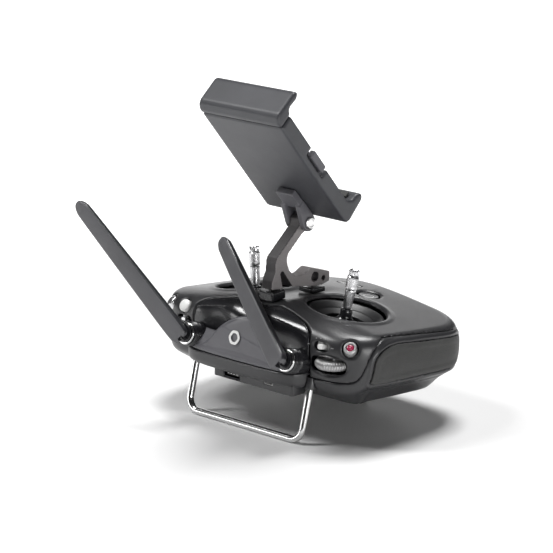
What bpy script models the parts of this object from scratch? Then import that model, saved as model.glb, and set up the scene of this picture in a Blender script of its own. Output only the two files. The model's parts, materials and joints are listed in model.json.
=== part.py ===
"""Hand-held radio transmitter controller with two thumb sticks, two folding antennas,
a bail handle that props up its front edge, and a tilting phone clamp on a cast arm.

Frame: +Z up, +X towards the side with the record button, -Y towards the antennas,
+Y towards the pilot. The origin is under the middle of the handle bar, on the
surface that the controller stands on. Sizes below are in millimetres, and MM turns
them into metres where a mesh is made.
"""

from math import atan2, cos, hypot, pi, radians, sin, sqrt

import bmesh
import bpy
from mathutils import Matrix, Vector

MM = 0.001
GAP = 0.35  # clearance kept between two pieces that touch on the real object

# Casing
HALF_WIDTH = 95.0
FRONT_Y = 4.0
REAR_Y = 128.0
FRONT_RADIUS = 31.0
REAR_RADIUS = 35.0
WALL = 2.4
PAD_DEPTH = 1.3
TOP_AT_WELLS = 82.2
TOP_SLOPE = 0.11
CROWN_HEIGHT = 5.95
CROWN_RADIUS = 31.3
BELLY_FRONT = 31.5
BELLY_SLOPE = 0.245
FLANK_FRONT = 26.3
FLANK_SLOPE = 0.075
FLANK_INNER = 37.0
FLANK_OUTER = 66.0
FOOT_Y = 94.0

# Front cover and its raised panel
COVER_HALF_WIDTH = 52.0
COVER_BOTTOM_Z = 48.0
FACE_TILT = radians(16.0)
PANEL_POINT = (-4.5, 64.6)  # (y, z) of a point of the panel's face

# Thumb sticks
WELL_X = 41.0
WELL_Y = 55.0
WELL_Z = 78.3
WELL_RADIUS = 25.5
WELL_TILT_X = 0.151
WELL_TILT_Y = 0.11
PIVOT_DEPTH = 13.0
STICK_HEIGHT = 26.0

# Antennas
HINGE_X = 44.7
HINGE_Y = -6.9
HINGE_Z = 57.1
FOLD_OFFSET = 9.0
PADDLE_LENGTH = 115.0
LEFT_SWING = radians(-51.5)
LEFT_FOLD = radians(13.0)
RIGHT_SWING = radians(-54.6)
RIGHT_FOLD = radians(-13.5)

# Handle
ROD_RADIUS = 2.4
ROD_SIDES = 12
LEG_X = 50.7
LEG_TOP = (9.5, 39.0)  # (y, z) where a leg ends inside its collar
HANDLE_CORNER = 9.0

# Phone clamp: s runs down the back plate, n out of it towards the phone
CLAMP_ANGLE = radians(49.8)
CLAMP_TOP = (0.1, 203.8)  # (y, z) of s = 0, n = 0
CLAMP_HALF_WIDTH = 35.0
CLAMP_LENGTH = 95.0
CLAMP_THICKNESS = 11.0
HOOD_TOP = -10.5
HOOD_SEAM = -2.0
HOOD_DEPTH = 25.0
LIP_DEPTH = 23.0
PIVOT_Y = 54.5
PIVOT_Z = 129.6
ARM_HALF = 4.5

# Shoulder controls: centre x, z on the shoulder's front face
DIAL_X = 66.0
DIAL_Z = 54.6
DIAL_RADIUS = 12.5
DIAL_SINK = 8.8
RECORD_X = 79.5
RECORD_Z = 67.2
SWITCH_X = 60.8
SWITCH_Z = 66.4
PLAYBACK_X = 62.0
PLAYBACK_Z = 69.6
MODE_X = 61.0
MODE_Z = 60.8

MATERIALS = {}


def clear_scene():
    for obj in list(bpy.data.objects):
        bpy.data.objects.remove(obj, do_unlink=True)


def material(name, colour, roughness, metallic=0.0):
    if name not in MATERIALS:
        mat = bpy.data.materials.new(name)
        mat.use_nodes = True
        shader = mat.node_tree.nodes["Principled BSDF"]
        shader.inputs["Base Color"].default_value = (*colour, 1.0)
        shader.inputs["Roughness"].default_value = roughness
        shader.inputs["Metallic"].default_value = metallic
        MATERIALS[name] = mat
    return MATERIALS[name]


def shell_plastic():
    return material("shell_plastic", (0.055, 0.055, 0.060), 0.45)


def panel_plastic():
    return material("panel_plastic", (0.085, 0.085, 0.095), 0.5)


def gloss_plastic():
    return material("gloss_plastic", (0.012, 0.012, 0.014), 0.12)


def grip_rubber():
    return material("grip_rubber", (0.060, 0.060, 0.058), 0.8)


def satin_silver():
    return material("satin_silver", (0.80, 0.80, 0.80), 0.3, 1.0)


def polished_steel():
    return material("polished_steel", (0.62, 0.62, 0.62), 0.15, 1.0)


def cast_metal():
    return material("cast_metal", (0.30, 0.28, 0.28), 0.5, 0.6)


def record_red():
    return material("record_red", (0.55, 0.02, 0.08), 0.35)


def circuit_green():
    return material("circuit_green", (0.02, 0.16, 0.07), 0.5)


# ---------------------------------------------------------------- mesh helpers


def make_object(name, verts, faces, mat, smooth=True):
    """One closed mesh from millimetre points, with its faces pointing out."""
    mesh = bpy.data.meshes.new(name)
    mesh.from_pydata([Vector(v) * MM for v in verts], [], faces)
    bm = bmesh.new()
    bm.from_mesh(mesh)
    bmesh.ops.recalc_face_normals(bm, faces=bm.faces)
    if bm.calc_volume(signed=True) < 0:
        bmesh.ops.reverse_faces(bm, faces=bm.faces)
    bm.to_mesh(mesh)
    bm.free()
    mesh.materials.append(mat)
    if smooth:
        mesh.shade_smooth()
        mesh.set_sharp_from_angle(angle=radians(32))
    obj = bpy.data.objects.new(name, mesh)
    bpy.context.scene.collection.objects.link(obj)
    return obj


def loft(name, rings, mat):
    """Closed skin through rings with the same number of points."""
    count = len(rings[0])
    verts = [p for ring in rings for p in ring]
    faces = []
    for i in range(len(rings) - 1):
        for j in range(count):
            k = (j + 1) % count
            faces.append((i * count + j, i * count + k, (i + 1) * count + k, (i + 1) * count + j))
    faces.append(tuple(range(count)))
    last = (len(rings) - 1) * count
    faces.append(tuple(last + j for j in range(count)))
    return make_object(name, verts, faces, mat)


def casing_loft(name, rings, mat):
    """Loft of casing rings, closed at both ends by a ladder from front edge to back edge."""
    count = len(rings[0])
    half = count // 2
    quarter = half // 2
    verts = [p for ring in rings for p in ring]
    faces = []
    for i in range(len(rings) - 1):
        for j in range(count):
            k = (j + 1) % count
            faces.append((i * count + j, i * count + k, (i + 1) * count + k, (i + 1) * count + j))
    for start in (0, (len(rings) - 1) * count):
        for k in range(-quarter, quarter):
            rung = [k, k + 1, half - k - 1, half - k]
            corners = []
            for index in rung:
                if start + index % count not in corners:
                    corners.append(start + index % count)
            faces.append(tuple(corners))
    return make_object(name, verts, faces, mat)


def prism(name, outline, lift, low, high, mat):
    """Outline of 2-D points, carried to 3-D at heights low and high by lift(a, b, h)."""
    rings = [[lift(a, b, low) for a, b in outline], [lift(a, b, high) for a, b in outline]]
    return loft(name, rings, mat)


def side_prism(name, outline, half, mat, centre=0.0):
    """Outline in (y, z), extruded along X."""
    return prism(name, outline, lambda a, b, h: (centre + h, a, b), -half, half, mat)


def plan_prism(name, outline, low, high, mat):
    """Outline in (x, y), extruded along Z."""
    return prism(name, outline, lambda a, b, h: (a, b, h), low, high, mat)


def rounded_rectangle(half_a, half_b, radius, steps=2):
    points = []
    corners = ((1, 1, 0), (-1, 1, 90), (-1, -1, 180), (1, -1, 270))
    for sign_a, sign_b, start in corners:
        for i in range(steps + 1):
            angle = radians(start + 90 * i / steps)
            a = sign_a * (half_a - radius) + radius * cos(angle)
            b = sign_b * (half_b - radius) + radius * sin(angle)
            points.append((a, b))
    return points


class Axis:
    """A local frame: origin, unit axis w, and two unit vectors u and v across it."""

    def __init__(self, origin, w, u_hint=(1, 0, 0)):
        self.o = Vector(origin)
        self.w = Vector(w).normalized()
        hint = Vector(u_hint)
        if abs(hint.normalized().dot(self.w)) > 0.99:
            hint = Vector((0, 1, 0))
        self.u = (hint - self.w * hint.dot(self.w)).normalized()
        self.v = self.w.cross(self.u)

    def at(self, a, b, h):
        return self.o + self.u * a + self.v * b + self.w * h


def turned(name, axis, profile, mat, segments=24):
    """Solid of revolution: profile is (radius, height) from one end to the other."""
    rings = []
    for radius, height in profile:
        ring = []
        for i in range(segments):
            angle = 2 * pi * i / segments
            ring.append(axis.at(radius * cos(angle), radius * sin(angle), height))
        rings.append(ring)
    return loft(name, rings, mat)


def block(name, axis, half_a, half_b, low, high, mat, radius=1.0, steps=2):
    outline = rounded_rectangle(half_a, half_b, radius, steps)
    return prism(name, outline, axis.at, low, high, mat)


def combine(obj, other, operation):
    """Boolean with a hidden helper."""
    other.hide_render = True
    other.display_type = "WIRE"
    modifier = obj.modifiers.new(operation.lower(), "BOOLEAN")
    modifier.operation = operation
    modifier.solver = "EXACT"
    modifier.object = other


def cut(obj, *cutters):
    for cutter in cutters:
        combine(obj, cutter, "DIFFERENCE")


def add(obj, *pieces):
    for piece in pieces:
        combine(obj, piece, "UNION")


def keep(obj, *regions):
    for region in regions:
        combine(obj, region, "INTERSECT")


def set_origin(obj, point):
    """Move an object's origin to a point in millimetres, leaving its mesh in place."""
    at = Vector(point) * MM
    obj.data.transform(Matrix.Translation(-at))
    obj.location = at


# ---------------------------------------------------------------- casing skin


def step(low, high, value):
    t = min(1.0, max(0.0, (value - low) / (high - low)))
    return t * t * (3 - 2 * t)


def top_height(x, y):
    crown = CROWN_HEIGHT * (sqrt(1 + (x / CROWN_RADIUS) ** 2) - 1)
    brow = 9.0 * (max(0.0, 35.0 - y) / 30.0) ** 2
    valley = 2.5 * (1 - step(4, 17, abs(x))) * (1 - step(60, 90, y))
    return TOP_AT_WELLS - crown - TOP_SLOPE * (y - WELL_Y) - brow - valley


def belly_height(x, y):
    """Underside: it drops towards the back in the middle, and far less under the grips."""
    middle = BELLY_FRONT - BELLY_SLOPE * y
    flank = FLANK_FRONT - FLANK_SLOPE * y
    reach = min(1.0, max(0.0, (abs(x) - FLANK_INNER) / (FLANK_OUTER - FLANK_INNER)))
    return middle + max(0.0, flank - middle) * reach


def plan_outline(inset, density=1):
    """Outline of the casing seen from above, inset towards its middle.

    Points are (x, y, facing), where facing is 1 on the front edge and 0 at the back.
    """
    half = HALF_WIDTH - inset
    front = FRONT_Y + inset
    rear = REAR_Y - inset
    smallest = min(3.0, 0.4 * (rear - front))
    r_front = max(FRONT_RADIUS - inset, smallest)
    r_rear = max(REAR_RADIUS - inset, smallest)
    quarter = []
    straight = 3 * density
    arc = 5 * density
    side = 3 * density
    for i in range(straight):
        x = (half - r_front) * i / straight
        quarter.append((x, front, 1.0))
    for i in range(arc):
        angle = pi / 2 * i / arc
        x = half - r_front + r_front * sin(angle)
        y = front + r_front - r_front * cos(angle)
        quarter.append((x, y, cos(angle)))
    for i in range(side):
        y = front + r_front + (rear - r_rear - front - r_front) * i / side
        quarter.append((half, y, 0.0))
    for i in range(arc):
        angle = pi / 2 * i / arc
        x = half - r_rear + r_rear * cos(angle)
        y = rear - r_rear + r_rear * sin(angle)
        quarter.append((x, y, 0.0))
    for i in range(straight + 1):
        x = (half - r_rear) * (1 - i / straight)
        quarter.append((x, rear, 0.0))
    swept = []
    for x, y, facing in quarter:
        sweep = 3.0 * facing * min(1.0, x / 62.0) ** 2
        waist = 1.0 - 0.016 * ((y - 78.0) / 45.0) ** 2
        swept.append((x * waist, y + sweep, facing))
    mirrored = [(-x, y, f) for x, y, f in reversed(swept[1:-1])]
    return swept + mirrored


SIDE_SECTION = (  # (height fraction, inset) up the sides and the back
    (0, 58), (0, 44), (0, 29), (0.02, 23), (0.07, 19), (0.22, 12), (0.36, 3.5), (0.54, 0.5),
    (0.76, 0), (0.89, 1), (0.965, 3.5), (1, 9), (1, 18), (1, 32), (1, 46), (1, 58),
)
FRONT_SECTION = (  # the same up the front
    (0, 58), (0, 44), (0, 26), (0.03, 17), (0.10, 8), (0.17, 2.5), (0.27, 0.5), (0.45, 0),
    (0.68, 0), (0.85, 0.6), (0.945, 2.5), (0.99, 7), (1, 16), (1, 32), (1, 46), (1, 58),
)


def casing_rings(shrink, density=1, thin=1):
    """Rings of the casing's skin, shrunk inwards by a wall thickness."""
    rings = []
    for index, (side, front) in enumerate(zip(SIDE_SECTION, FRONT_SECTION)):
        if thin > 1 and index % thin and index < len(SIDE_SECTION) - 1:
            continue
        base = plan_outline(0, density)
        blends = [step(0.2, 0.9, facing) for _, _, facing in base]
        low_ring = plan_outline(side[1] + shrink, density)
        front_ring = plan_outline(front[1] + shrink, density)
        ring = []
        for (xs, ys, _), (xf, yf, _), blend in zip(low_ring, front_ring, blends):
            x = xs + (xf - xs) * blend
            y = ys + (yf - ys) * blend
            fraction = side[0] + (front[0] - side[0]) * blend
            low = belly_height(x, y) + shrink
            high = top_height(x, y) - shrink
            ring.append((x, y, low + (high - low) * fraction))
        rings.append(ring)
    return rings


def casing_skin(name, mat):
    """Hollow casing: the outer skin less the inner one."""
    outer = casing_loft(name, casing_rings(0.0), mat)
    cut(outer, casing_loft(name + "_hollow", casing_rings(WALL, thin=2), mat))
    return outer


def upper_region(name, drop, centre):
    """Everything above the casing's side seam, as seen from the side.

    drop lowers the boundary. centre picks the boundary of the middle of the casing,
    where there are no shoulders.
    """
    if centre:
        seam = [(-60, 48), (30, 48), (48, 70.7), (160, 58.4)]
    else:
        seam = [(-60, 44.5), (14, 44.5), (17.5, 46.5), (21, 57), (28, 69), (36, 72), (160, 58.4)]
    outline = [(y, z - drop) for y, z in seam] + [(160, 140), (-60, 140)]
    half = COVER_HALF_WIDTH if centre else 60.0
    return side_prism(name, outline, half, shell_plastic())


def upper_zone(name, drop):
    """Everything above the side seam, which runs lower in the shoulders than in the middle."""
    zone = upper_region(name, drop, centre=True)
    for side in (1, -1):
        shoulder = upper_region(f"{name}_{side}", drop, centre=False)
        shift = side * (COVER_HALF_WIDTH + 59.5 - drop)
        shoulder.data.transform(Matrix.Translation(Vector((shift * MM, 0, 0))))
        add(zone, shoulder)
    return zone


def cover_outline(grow):
    """Plan of the front cover, whose back edge bows over the casing's brow."""
    half = COVER_HALF_WIDTH + grow
    edge = [(half, 6), (half - 4.5, 10.5), (half - 12, 14), (20, 18), (0, 18.6)]
    right = [(x, y + grow) for x, y in edge]
    left = [(-x, y) for x, y in reversed(right[:-1])]
    return [(half, -60)] + right + left + [(-half, -60)]


def well_axis(side):
    normal = (side * WELL_TILT_X, WELL_TILT_Y, 1.0)
    return Axis((side * WELL_X, WELL_Y, WELL_Z), normal)


def front_inset(x, z):
    """How far the casing's front face has curved inwards at a height."""
    low = belly_height(0, 10)
    fraction = (z - low) / (top_height(x, 10) - low)
    for (f0, inset0), (f1, inset1) in zip(FRONT_SECTION, FRONT_SECTION[1:]):
        if f0 <= fraction <= f1 and f1 > f0:
            return inset0 + (inset1 - inset0) * (fraction - f0) / (f1 - f0)
    return 0.0


def shoulder_axis(side, x, z, sink=0.0):
    """Frame on the shoulder's front face: w points out of it, u along it, v up it."""
    outline = plan_outline(front_inset(x, z), 6)
    for (xa, ya, _), (xb, yb, _) in zip(outline, outline[1:]):
        if xa <= x <= xb:
            break
    y = ya + (yb - ya) * (x - xa) / (xb - xa)
    flat = Vector((side * (yb - ya), xa - xb, 0.0)).normalized()
    lean = (front_inset(x, z + 2) - front_inset(x, z - 2)) / 4
    normal = (flat + Vector((0, 0, lean))).normalized()
    origin = Vector((side * x, y, z)) - normal * sink
    return Axis(origin, normal, u_hint=(-side * flat.y, side * flat.x, 0))


def bore(name, axis, radius, low=-6.0, high=6.0, segments=16):
    return turned(name, axis, [(radius, low), (radius, high)], gloss_plastic(), segments)


def deck_axis(x, y):
    """Frame on the casing's top: w is its outward normal."""
    d = 0.5
    slope_x = (top_height(x + d, y) - top_height(x - d, y)) / (2 * d)
    slope_y = (top_height(x, y + d) - top_height(x, y - d)) / (2 * d)
    return Axis((x, y, top_height(x, y)), (-slope_x, -slope_y, 1))


def belly_axis(x, y):
    """Frame on the casing's underside: w points down and out of it."""
    return Axis((x, y, belly_height(x, y)), (0, -BELLY_SLOPE, -1))


def top_shell():
    shell = casing_skin("top_shell", shell_plastic())
    keep(shell, upper_zone("upper_zone", 0.0))
    cut(shell, plan_prism("cover_space", cover_outline(GAP), -20, 150, shell_plastic()))
    for side in (1, -1):
        flare = [(WELL_RADIUS + 0.4, -30), (WELL_RADIUS + 0.4, -3), (WELL_RADIUS + 1.2, -1)]
        flare += [(WELL_RADIUS + 4, 1.0), (WELL_RADIUS + 4, 12)]
        cut(shell, turned(f"well_space_{side}", well_axis(side), flare, shell_plastic(), 28))
        slot = shoulder_axis(side, DIAL_X, DIAL_Z)
        cut(shell, block(f"dial_slot_{side}", slot, 12.6, 4.2, -12, 8, shell_plastic(), 2.0))
        cut(shell, bore(f"shutter_bore_{side}", shoulder_axis(side, RECORD_X, RECORD_Z), 4.9, -8))
    cut(shell, bore("playback_bore", shoulder_axis(-1, PLAYBACK_X, PLAYBACK_Z), 4.55, -6))
    slide = shoulder_axis(1, SWITCH_X, SWITCH_Z)
    cut(shell, block("switch_slot", slide, 5.4, 2.3, -6, 6, shell_plastic(), 2.0))
    slide = shoulder_axis(-1, MODE_X, MODE_Z)
    cut(shell, block("mode_slot", slide, 6.4, 1.6, -6, 6, shell_plastic(), 1.4))
    for name, x, y in (("rth_bore", 25, 95), ("power_bore", -25, 95)):
        cut(shell, bore(name, deck_axis(x, y), 7.3, -6, 6))
    cut(shell, block("light_slot", deck_axis(0, 104), 10.4, 2.0, -6, 6, shell_plastic(), 1.8))
    return shell


def bottom_shell():
    shell = casing_skin("bottom_shell", shell_plastic())
    cut(shell, upper_zone("above_zone", GAP))
    half = COVER_HALF_WIDTH - 0.6
    bow = [(half, 5.5), (49.5, 0.5), (46, -4.5), (36, -7.4), (20, -8.6), (0, -9)]
    left = [(-x, y) for x, y in reversed(bow[:-1])]
    rings = []
    for z, inset in ((37.0, 5.0), (38.2, 2.0), (40.2, 0.3), (COVER_BOTTOM_Z - GAP, 0.0)):
        rings.append([(x, y + inset, z) for x, y in bow + left])
    add(shell, loft("chin", rings, shell_plastic()))
    cut(shell, block("port_space", Axis((10.5, 4, 36), (0, 0, 1)), 35.9, 7.0, -12, 3.6, shell_plastic()))
    cut(shell, block("charge_space", charge_axis(), 7.3, 4.3, -8, 8, shell_plastic()))
    for side in (1, -1):
        cut(shell, leg_socket(f"leg_socket_{side}", side, 4.6))
        cut(shell, grip_recess(f"grip_recess_{side}", side))
    for side in (1, -1):
        cut(shell, bore(f"c_bore_{side}", belly_axis(side * 28, 83), 5.0, -6, 6))
    cut(shell, block("foot_space", foot_axis(), 23.55, 4.4, 2.0, 30, shell_plastic()))
    return shell


def grip_outline():
    """Side view (y, z) of the rubber grip pad, whose front end leans with the shoulder."""
    return [(24, 44), (26, 62), (31, 66.2), (46, 68.3), (84, 64.6), (112, 61.0), (118, 57), (117, 41),
            (112, 37.4), (60, 40.8)]


def grip_band(name, side, shrink):
    """Block through the casing's side with the grip pad's outline."""
    outline = grip_outline()
    middle_y = sum(p[0] for p in outline) / len(outline)
    middle_z = sum(p[1] for p in outline) / len(outline)
    points = []
    for y, z in outline:
        factor = 1 - shrink / hypot(y - middle_y, z - middle_z)
        points.append((middle_y + (y - middle_y) * factor, middle_z + (z - middle_z) * factor))
    return side_prism(name, points, 30, grip_rubber(), centre=side * 98)


def grip_recess(name, side):
    """The shallow recess in the casing's side that the pad is let into."""
    recess = grip_band(name, side, 0.0)
    cut(recess, casing_loft(name + "_floor", casing_rings(PAD_DEPTH), grip_rubber()))
    return recess


def grip_pad(name, side):
    pad = casing_loft(name, casing_rings(-0.5), grip_rubber())
    keep(pad, grip_band(name + "_band", side, GAP))
    cut(pad, casing_loft(name + "_core", casing_rings(PAD_DEPTH - 0.5), grip_rubber()))
    return pad


def panel_lift(a, b, h):
    """a across, b up the tilted face, h out of it: (0, 0, 0) is PANEL_POINT."""
    y = PANEL_POINT[0] + b * sin(FACE_TILT) - h * cos(FACE_TILT)
    z = PANEL_POINT[1] + b * cos(FACE_TILT) + h * sin(FACE_TILT)
    return (a, y, z)


def front_cover():
    """Gloss cover between the shoulders: a skin that rolls over the brow."""
    cover = casing_skin("front_cover", gloss_plastic())
    zone = plan_prism("cover_zone", cover_outline(-GAP), COVER_BOTTOM_Z, 150, gloss_plastic())
    keep(cover, zone)
    bow = [(35.6, 5.8), (35.6, -6.6), (20, -7.7), (0, -8.1)]
    left = [(-x, y) for x, y in reversed(bow[:-1])]
    rings = []
    for z, inset in ((COVER_BOTTOM_Z, 0.0), (49.5, 0.2), (50.3, 1.2)):
        rings.append([(x, y + inset, z) for x, y in bow + left])
    add(cover, loft("cover_sill", rings, gloss_plastic()))
    return cover


def logo_panel():
    """Raised matte panel in front of the cover: a hill with sloping sides."""
    hill = [(33, -12.0), (28, -10.8), (24.5, -6), (20.5, -1), (15, 4.6), (9.5, 8.8), (4.5, 11.2), (0, 12.2)]
    outline = hill + [(-x, b) for x, b in reversed(hill[:-1])]
    rings = []
    for h, grow in ((-8.2, 2.2), (-1.2, 0.6), (-0.3, 0.1), (0.0, -0.6)):
        ring = []
        for a, b in outline:
            reach = hypot(a, b + 14)
            factor = (reach + grow) / reach
            bowed = h - 1.0 * (a / 30) ** 2 - 0.04 * max(0.0, b - 1.0) ** 2
            ring.append(panel_lift(a * factor, max((b + 14) * factor - 14, -12.0), bowed))
        rings.append(ring)
    panel = loft("logo_panel", rings, panel_plastic())
    cut(panel, casing_loft("logo_panel_seat", casing_rings(-GAP), panel_plastic()))
    return panel


# ---------------------------------------------------------------- fixed fittings


def leg_direction():
    return Vector((0, LEG_TOP[0], LEG_TOP[1] - ROD_RADIUS)).normalized()


def leg_socket(name, side, radius):
    axis = Axis((side * LEG_X, LEG_TOP[0], LEG_TOP[1]), leg_direction())
    return bore(name, axis, radius, -14, 6, 16)


def handle():
    """Polished rod bent into a U: two legs and the bar that stands on the floor."""
    direction = leg_direction()
    run = (LEG_TOP[1] - ROD_RADIUS) / direction.z
    roll = -atan2(direction.y, direction.z)
    path = [Vector((-LEG_X, 0, ROD_RADIUS)) + direction * (run * t) for t in (1.0, 0.65, 0.35)]
    for i in range(6):
        angle = pi / 2 * i / 5
        out = HANDLE_CORNER * (1 - sin(angle))
        up = HANDLE_CORNER * (1 - cos(pi / 2 - angle))
        corner = Vector((-LEG_X + HANDLE_CORNER - HANDLE_CORNER * cos(angle), 0, ROD_RADIUS))
        path.append(corner + direction * out)
    path += [Vector((x, 0, ROD_RADIUS)) for x in (-20, 20)]
    path += [Vector((-p.x, p.y, p.z)) for p in reversed(path[:9])]
    rings = []
    for i, point in enumerate(path):
        before = path[max(0, i - 1)]
        after = path[min(len(path) - 1, i + 1)]
        tangent = (after - before).normalized()
        normal = Vector((1, 0, 0)).cross(direction).normalized()
        side_way = tangent.cross(normal)
        ring = []
        for k in range(ROD_SIDES):
            angle = 2 * pi * (k + 0.5) / ROD_SIDES + roll
            reach = ROD_RADIUS / cos(pi / ROD_SIDES)
            offset = side_way * (cos(angle) * reach) + normal * (sin(angle) * reach)
            ring.append(point + offset)
        rings.append(ring)
    return loft("handle", rings, polished_steel())


def leg_collar(name, side):
    """Plastic collar that a leg of the handle plugs into."""
    axis = Axis((side * LEG_X, LEG_TOP[0], LEG_TOP[1]), leg_direction())
    outer = 4.6 - GAP
    inner = ROD_RADIUS + 0.5
    profile = [(inner, -5.5), (outer, -5.5), (outer, 4.4), (0.5, 4.4), (0.5, 1.0), (inner, 1.0)]
    return ring_solid(name, axis, profile, shell_plastic(), 16)


def ring_solid(name, axis, profile, mat, segments=24):
    """Solid of revolution from a closed (radius, height) profile."""
    rings = []
    for i in range(segments):
        angle = 2 * pi * i / segments
        rings.append([axis.at(r * cos(angle), r * sin(angle), h) for r, h in profile])
    count = len(profile)
    verts = [p for ring in rings for p in ring]
    faces = []
    for i in range(segments):
        n = (i + 1) % segments
        for j in range(count):
            k = (j + 1) % count
            faces.append((i * count + j, i * count + k, n * count + k, n * count + j))
    return make_object(name, verts, faces, mat)


def port_block():
    piece = block("port_block", Axis((10.5, 4, 36), (0, 0, 1)), 35.5, 6.2, -4.4, 3.2, shell_plastic(), 1.5)
    cut(piece, block("usb_a_space", Axis((-8.4, -2, 35.7), (0, -1, 0)), 7.4, 3.05, -12, 4, shell_plastic(), 0.5))
    cut(piece, block("micro_space", Axis((24.4, -2, 36.6), (0, -1, 0)), 3.9, 1.3, -6, 4, shell_plastic(), 0.5))
    return piece


def socket_sleeve(name, x, z, half_a, half_b, wall):
    """Metal sleeve of a socket, closed at its back."""
    axis = Axis((x, -2, z), (0, -1, 0))
    sleeve = block(name, axis, half_a + wall, half_b + wall, -11, 0.0, satin_silver(), 0.6)
    cut(sleeve, block(name + "_mouth", axis, half_a, half_b, -9.6, 2, satin_silver(), 0.4))
    return sleeve


def foot_axis():
    return Axis((0, FOOT_Y, 0), (0, 0, 1))


def rear_foot():
    """Rubber strip under the back of the casing, flat on the floor."""
    foot = block("rear_foot", foot_axis(), 23, 4, 0, 14, grip_rubber(), 2.0, 3)
    cut(foot, casing_loft("rear_foot_top", casing_rings(1.3), grip_rubber()))
    return foot


def charge_axis():
    return Axis((0, REAR_Y - 1.5, 30), (0, 1, 0))


def hinge_axis(side):
    out = (0, -cos(FACE_TILT), sin(FACE_TILT))
    return Axis((side * HINGE_X, HINGE_Y, HINGE_Z), out)


def antenna_mount(name, side):
    """Gloss boss standing on the chin, against the front cover, for an antenna's hinge."""
    profile = [(5.5, -16.0), (8.4, -16.0), (8.4, -6.0), (7.4, -3.0), (7.4, -0.4), (5.5, -0.4)]
    mount = ring_solid(name, hinge_axis(side), profile, gloss_plastic(), 18)
    cut(mount, casing_loft(name + "_wall", casing_rings(-GAP), gloss_plastic()))
    centre_x = side * HINGE_X
    floor = [(centre_x - 12, -30), (centre_x + 12, -30), (centre_x + 12, 30), (centre_x - 12, 30)]
    cut(mount, plan_prism(name + "_floor", floor, 20, COVER_BOTTOM_Z, gloss_plastic()))
    return mount


def antenna_ring(name, side):
    profile = [(5.6, 0.0), (7.2, 0.0), (7.6, 0.6), (7.6, 1.6), (7.0, 2.1), (5.6, 2.1)]
    ring = ring_solid(name, hinge_axis(side), profile, polished_steel(), 20)
    set_origin(ring, hinge_axis(side).o)
    return ring


def swing_direction(swing, fold):
    """Directions of a paddle: along it, and out of its face."""
    up = Vector((0, sin(FACE_TILT), cos(FACE_TILT)))
    out = Vector((0, -cos(FACE_TILT), sin(FACE_TILT)))
    flat = Vector((1, 0, 0)) * sin(swing) + up * cos(swing)
    along = flat * cos(fold) + out * sin(fold)
    face = out * cos(fold) - flat * sin(fold)
    return flat, along, face


def antenna_hinge(name, side, swing):
    """Swivel: a spindle in the mount, a flange, and the tongue that the paddle folds on."""
    axis = hinge_axis(side)
    flat, _, _ = swing_direction(swing, 0.0)
    tongue_axis = Axis(axis.o, axis.w, u_hint=flat)
    profile = [(4.9, -9.5), (5.0, 2.3), (6.4, 2.4), (6.4, 3.1)]
    swivel = turned(name, axis, profile, gloss_plastic(), 16)
    add(swivel, block(name + "_tongue", tongue_axis, 3.2, 1.6, 2.8, FOLD_OFFSET + 2.4, gloss_plastic(), 1.0))
    fold_line = Axis(axis.at(0, 0, FOLD_OFFSET), tongue_axis.v)
    cut(swivel, bore(name + "_bore", fold_line, 1.35, -4, 4, 12))
    set_origin(swivel, axis.o)
    return swivel


def antenna_pin(name, side, swing):
    axis = hinge_axis(side)
    flat, _, _ = swing_direction(swing, 0.0)
    across = axis.w.cross(flat)
    fold_line = Axis(axis.at(0, 0, FOLD_OFFSET), across)
    pin = turned(name, fold_line, [(1.0, -4.6), (1.0, 4.6)], polished_steel(), 12)
    set_origin(pin, fold_line.o)
    return pin


def antenna_paddle(name, side, swing, fold):
    """Flat tapering paddle with rounded edges, forked at its lower end."""
    flat, along, face = swing_direction(swing, fold)
    axis = hinge_axis(side)
    start = axis.at(0, 0, FOLD_OFFSET)
    across = along.cross(face)
    sections = [(-5.2, 4.2, 1.5), (-4.2, 5.8, 2.0), (-1, 6.6, 2.8), (8, 6.8, 3.0), (30, 6.5, 2.9), (70, 5.8, 2.7)]
    sections += [(104, 5.2, 2.5), (108.5, 4.9, 2.4), (112, 3.9, 2.1), (114, 2.5, 1.5), (115, 1.0, 0.7)]
    rings = []
    for along_by, half_width, half_depth in sections:
        outline = rounded_rectangle(half_width, half_depth, min(half_depth, half_width) * 0.7, 3)
        centre = start + along * along_by
        rings.append([centre + across * a + face * b for a, b in outline])
    paddle = loft(name, rings, panel_plastic())
    slot = Axis(start - along * 4.0, across, u_hint=along)
    cut(paddle, block(name + "_fork", slot, 8.6, 6.0, -2.1, 2.1, panel_plastic(), 0.6))
    cut(paddle, bore(name + "_bore", Axis(start, across, u_hint=along), 1.3, -4.9, 4.9, 10))
    set_origin(paddle, start)
    return paddle


# ---------------------------------------------------------------- sticks


def gimbal_housing(name, side):
    """Dished cup in the well, with a collar round the opening for the stick."""
    r = WELL_RADIUS
    profile = [(r, -4.2), (r - 1.4, -3.6), (14.6, -8.2), (13.4, -8.8), (13.4, -25), (0.8, -25)]
    profile += [(0.8, -27), (15.5, -27), (15.5, -12.5), (r, -7.6)]
    return ring_solid(name, well_axis(side), profile, gloss_plastic(), 28)


def stick_pivot(side):
    return well_axis(side).at(0, 0, -PIVOT_DEPTH)


def gimbal_yoke(name, side):
    """Ring on the roll axis, which the stick's ball swings in."""
    axis = well_axis(side)
    profile = [(8.9, -16.0), (11.6, -16.0), (11.6, -10.6), (8.9, -10.6)]
    yoke = ring_solid(name, axis, profile, satin_silver(), 24)
    set_origin(yoke, stick_pivot(side))
    return yoke


def stick_shaft(name, side):
    """Ball, black dome and the threaded post of a stick."""
    axis = well_axis(side)
    d = PIVOT_DEPTH
    profile = [(1.0, -20.0), (5.4, -18.5), (7.9, -15), (8.3, -13), (7.6, -10.0)]
    profile += [(4.4, -6.4), (4.0, -4.4), (4.1, -2.2), (3.6, -0.6), (1.7, -0.4), (1.7, 15.0)]
    shaft = turned(name, axis, profile, gloss_plastic(), 14)
    set_origin(shaft, stick_pivot(side))
    return shaft


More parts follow.
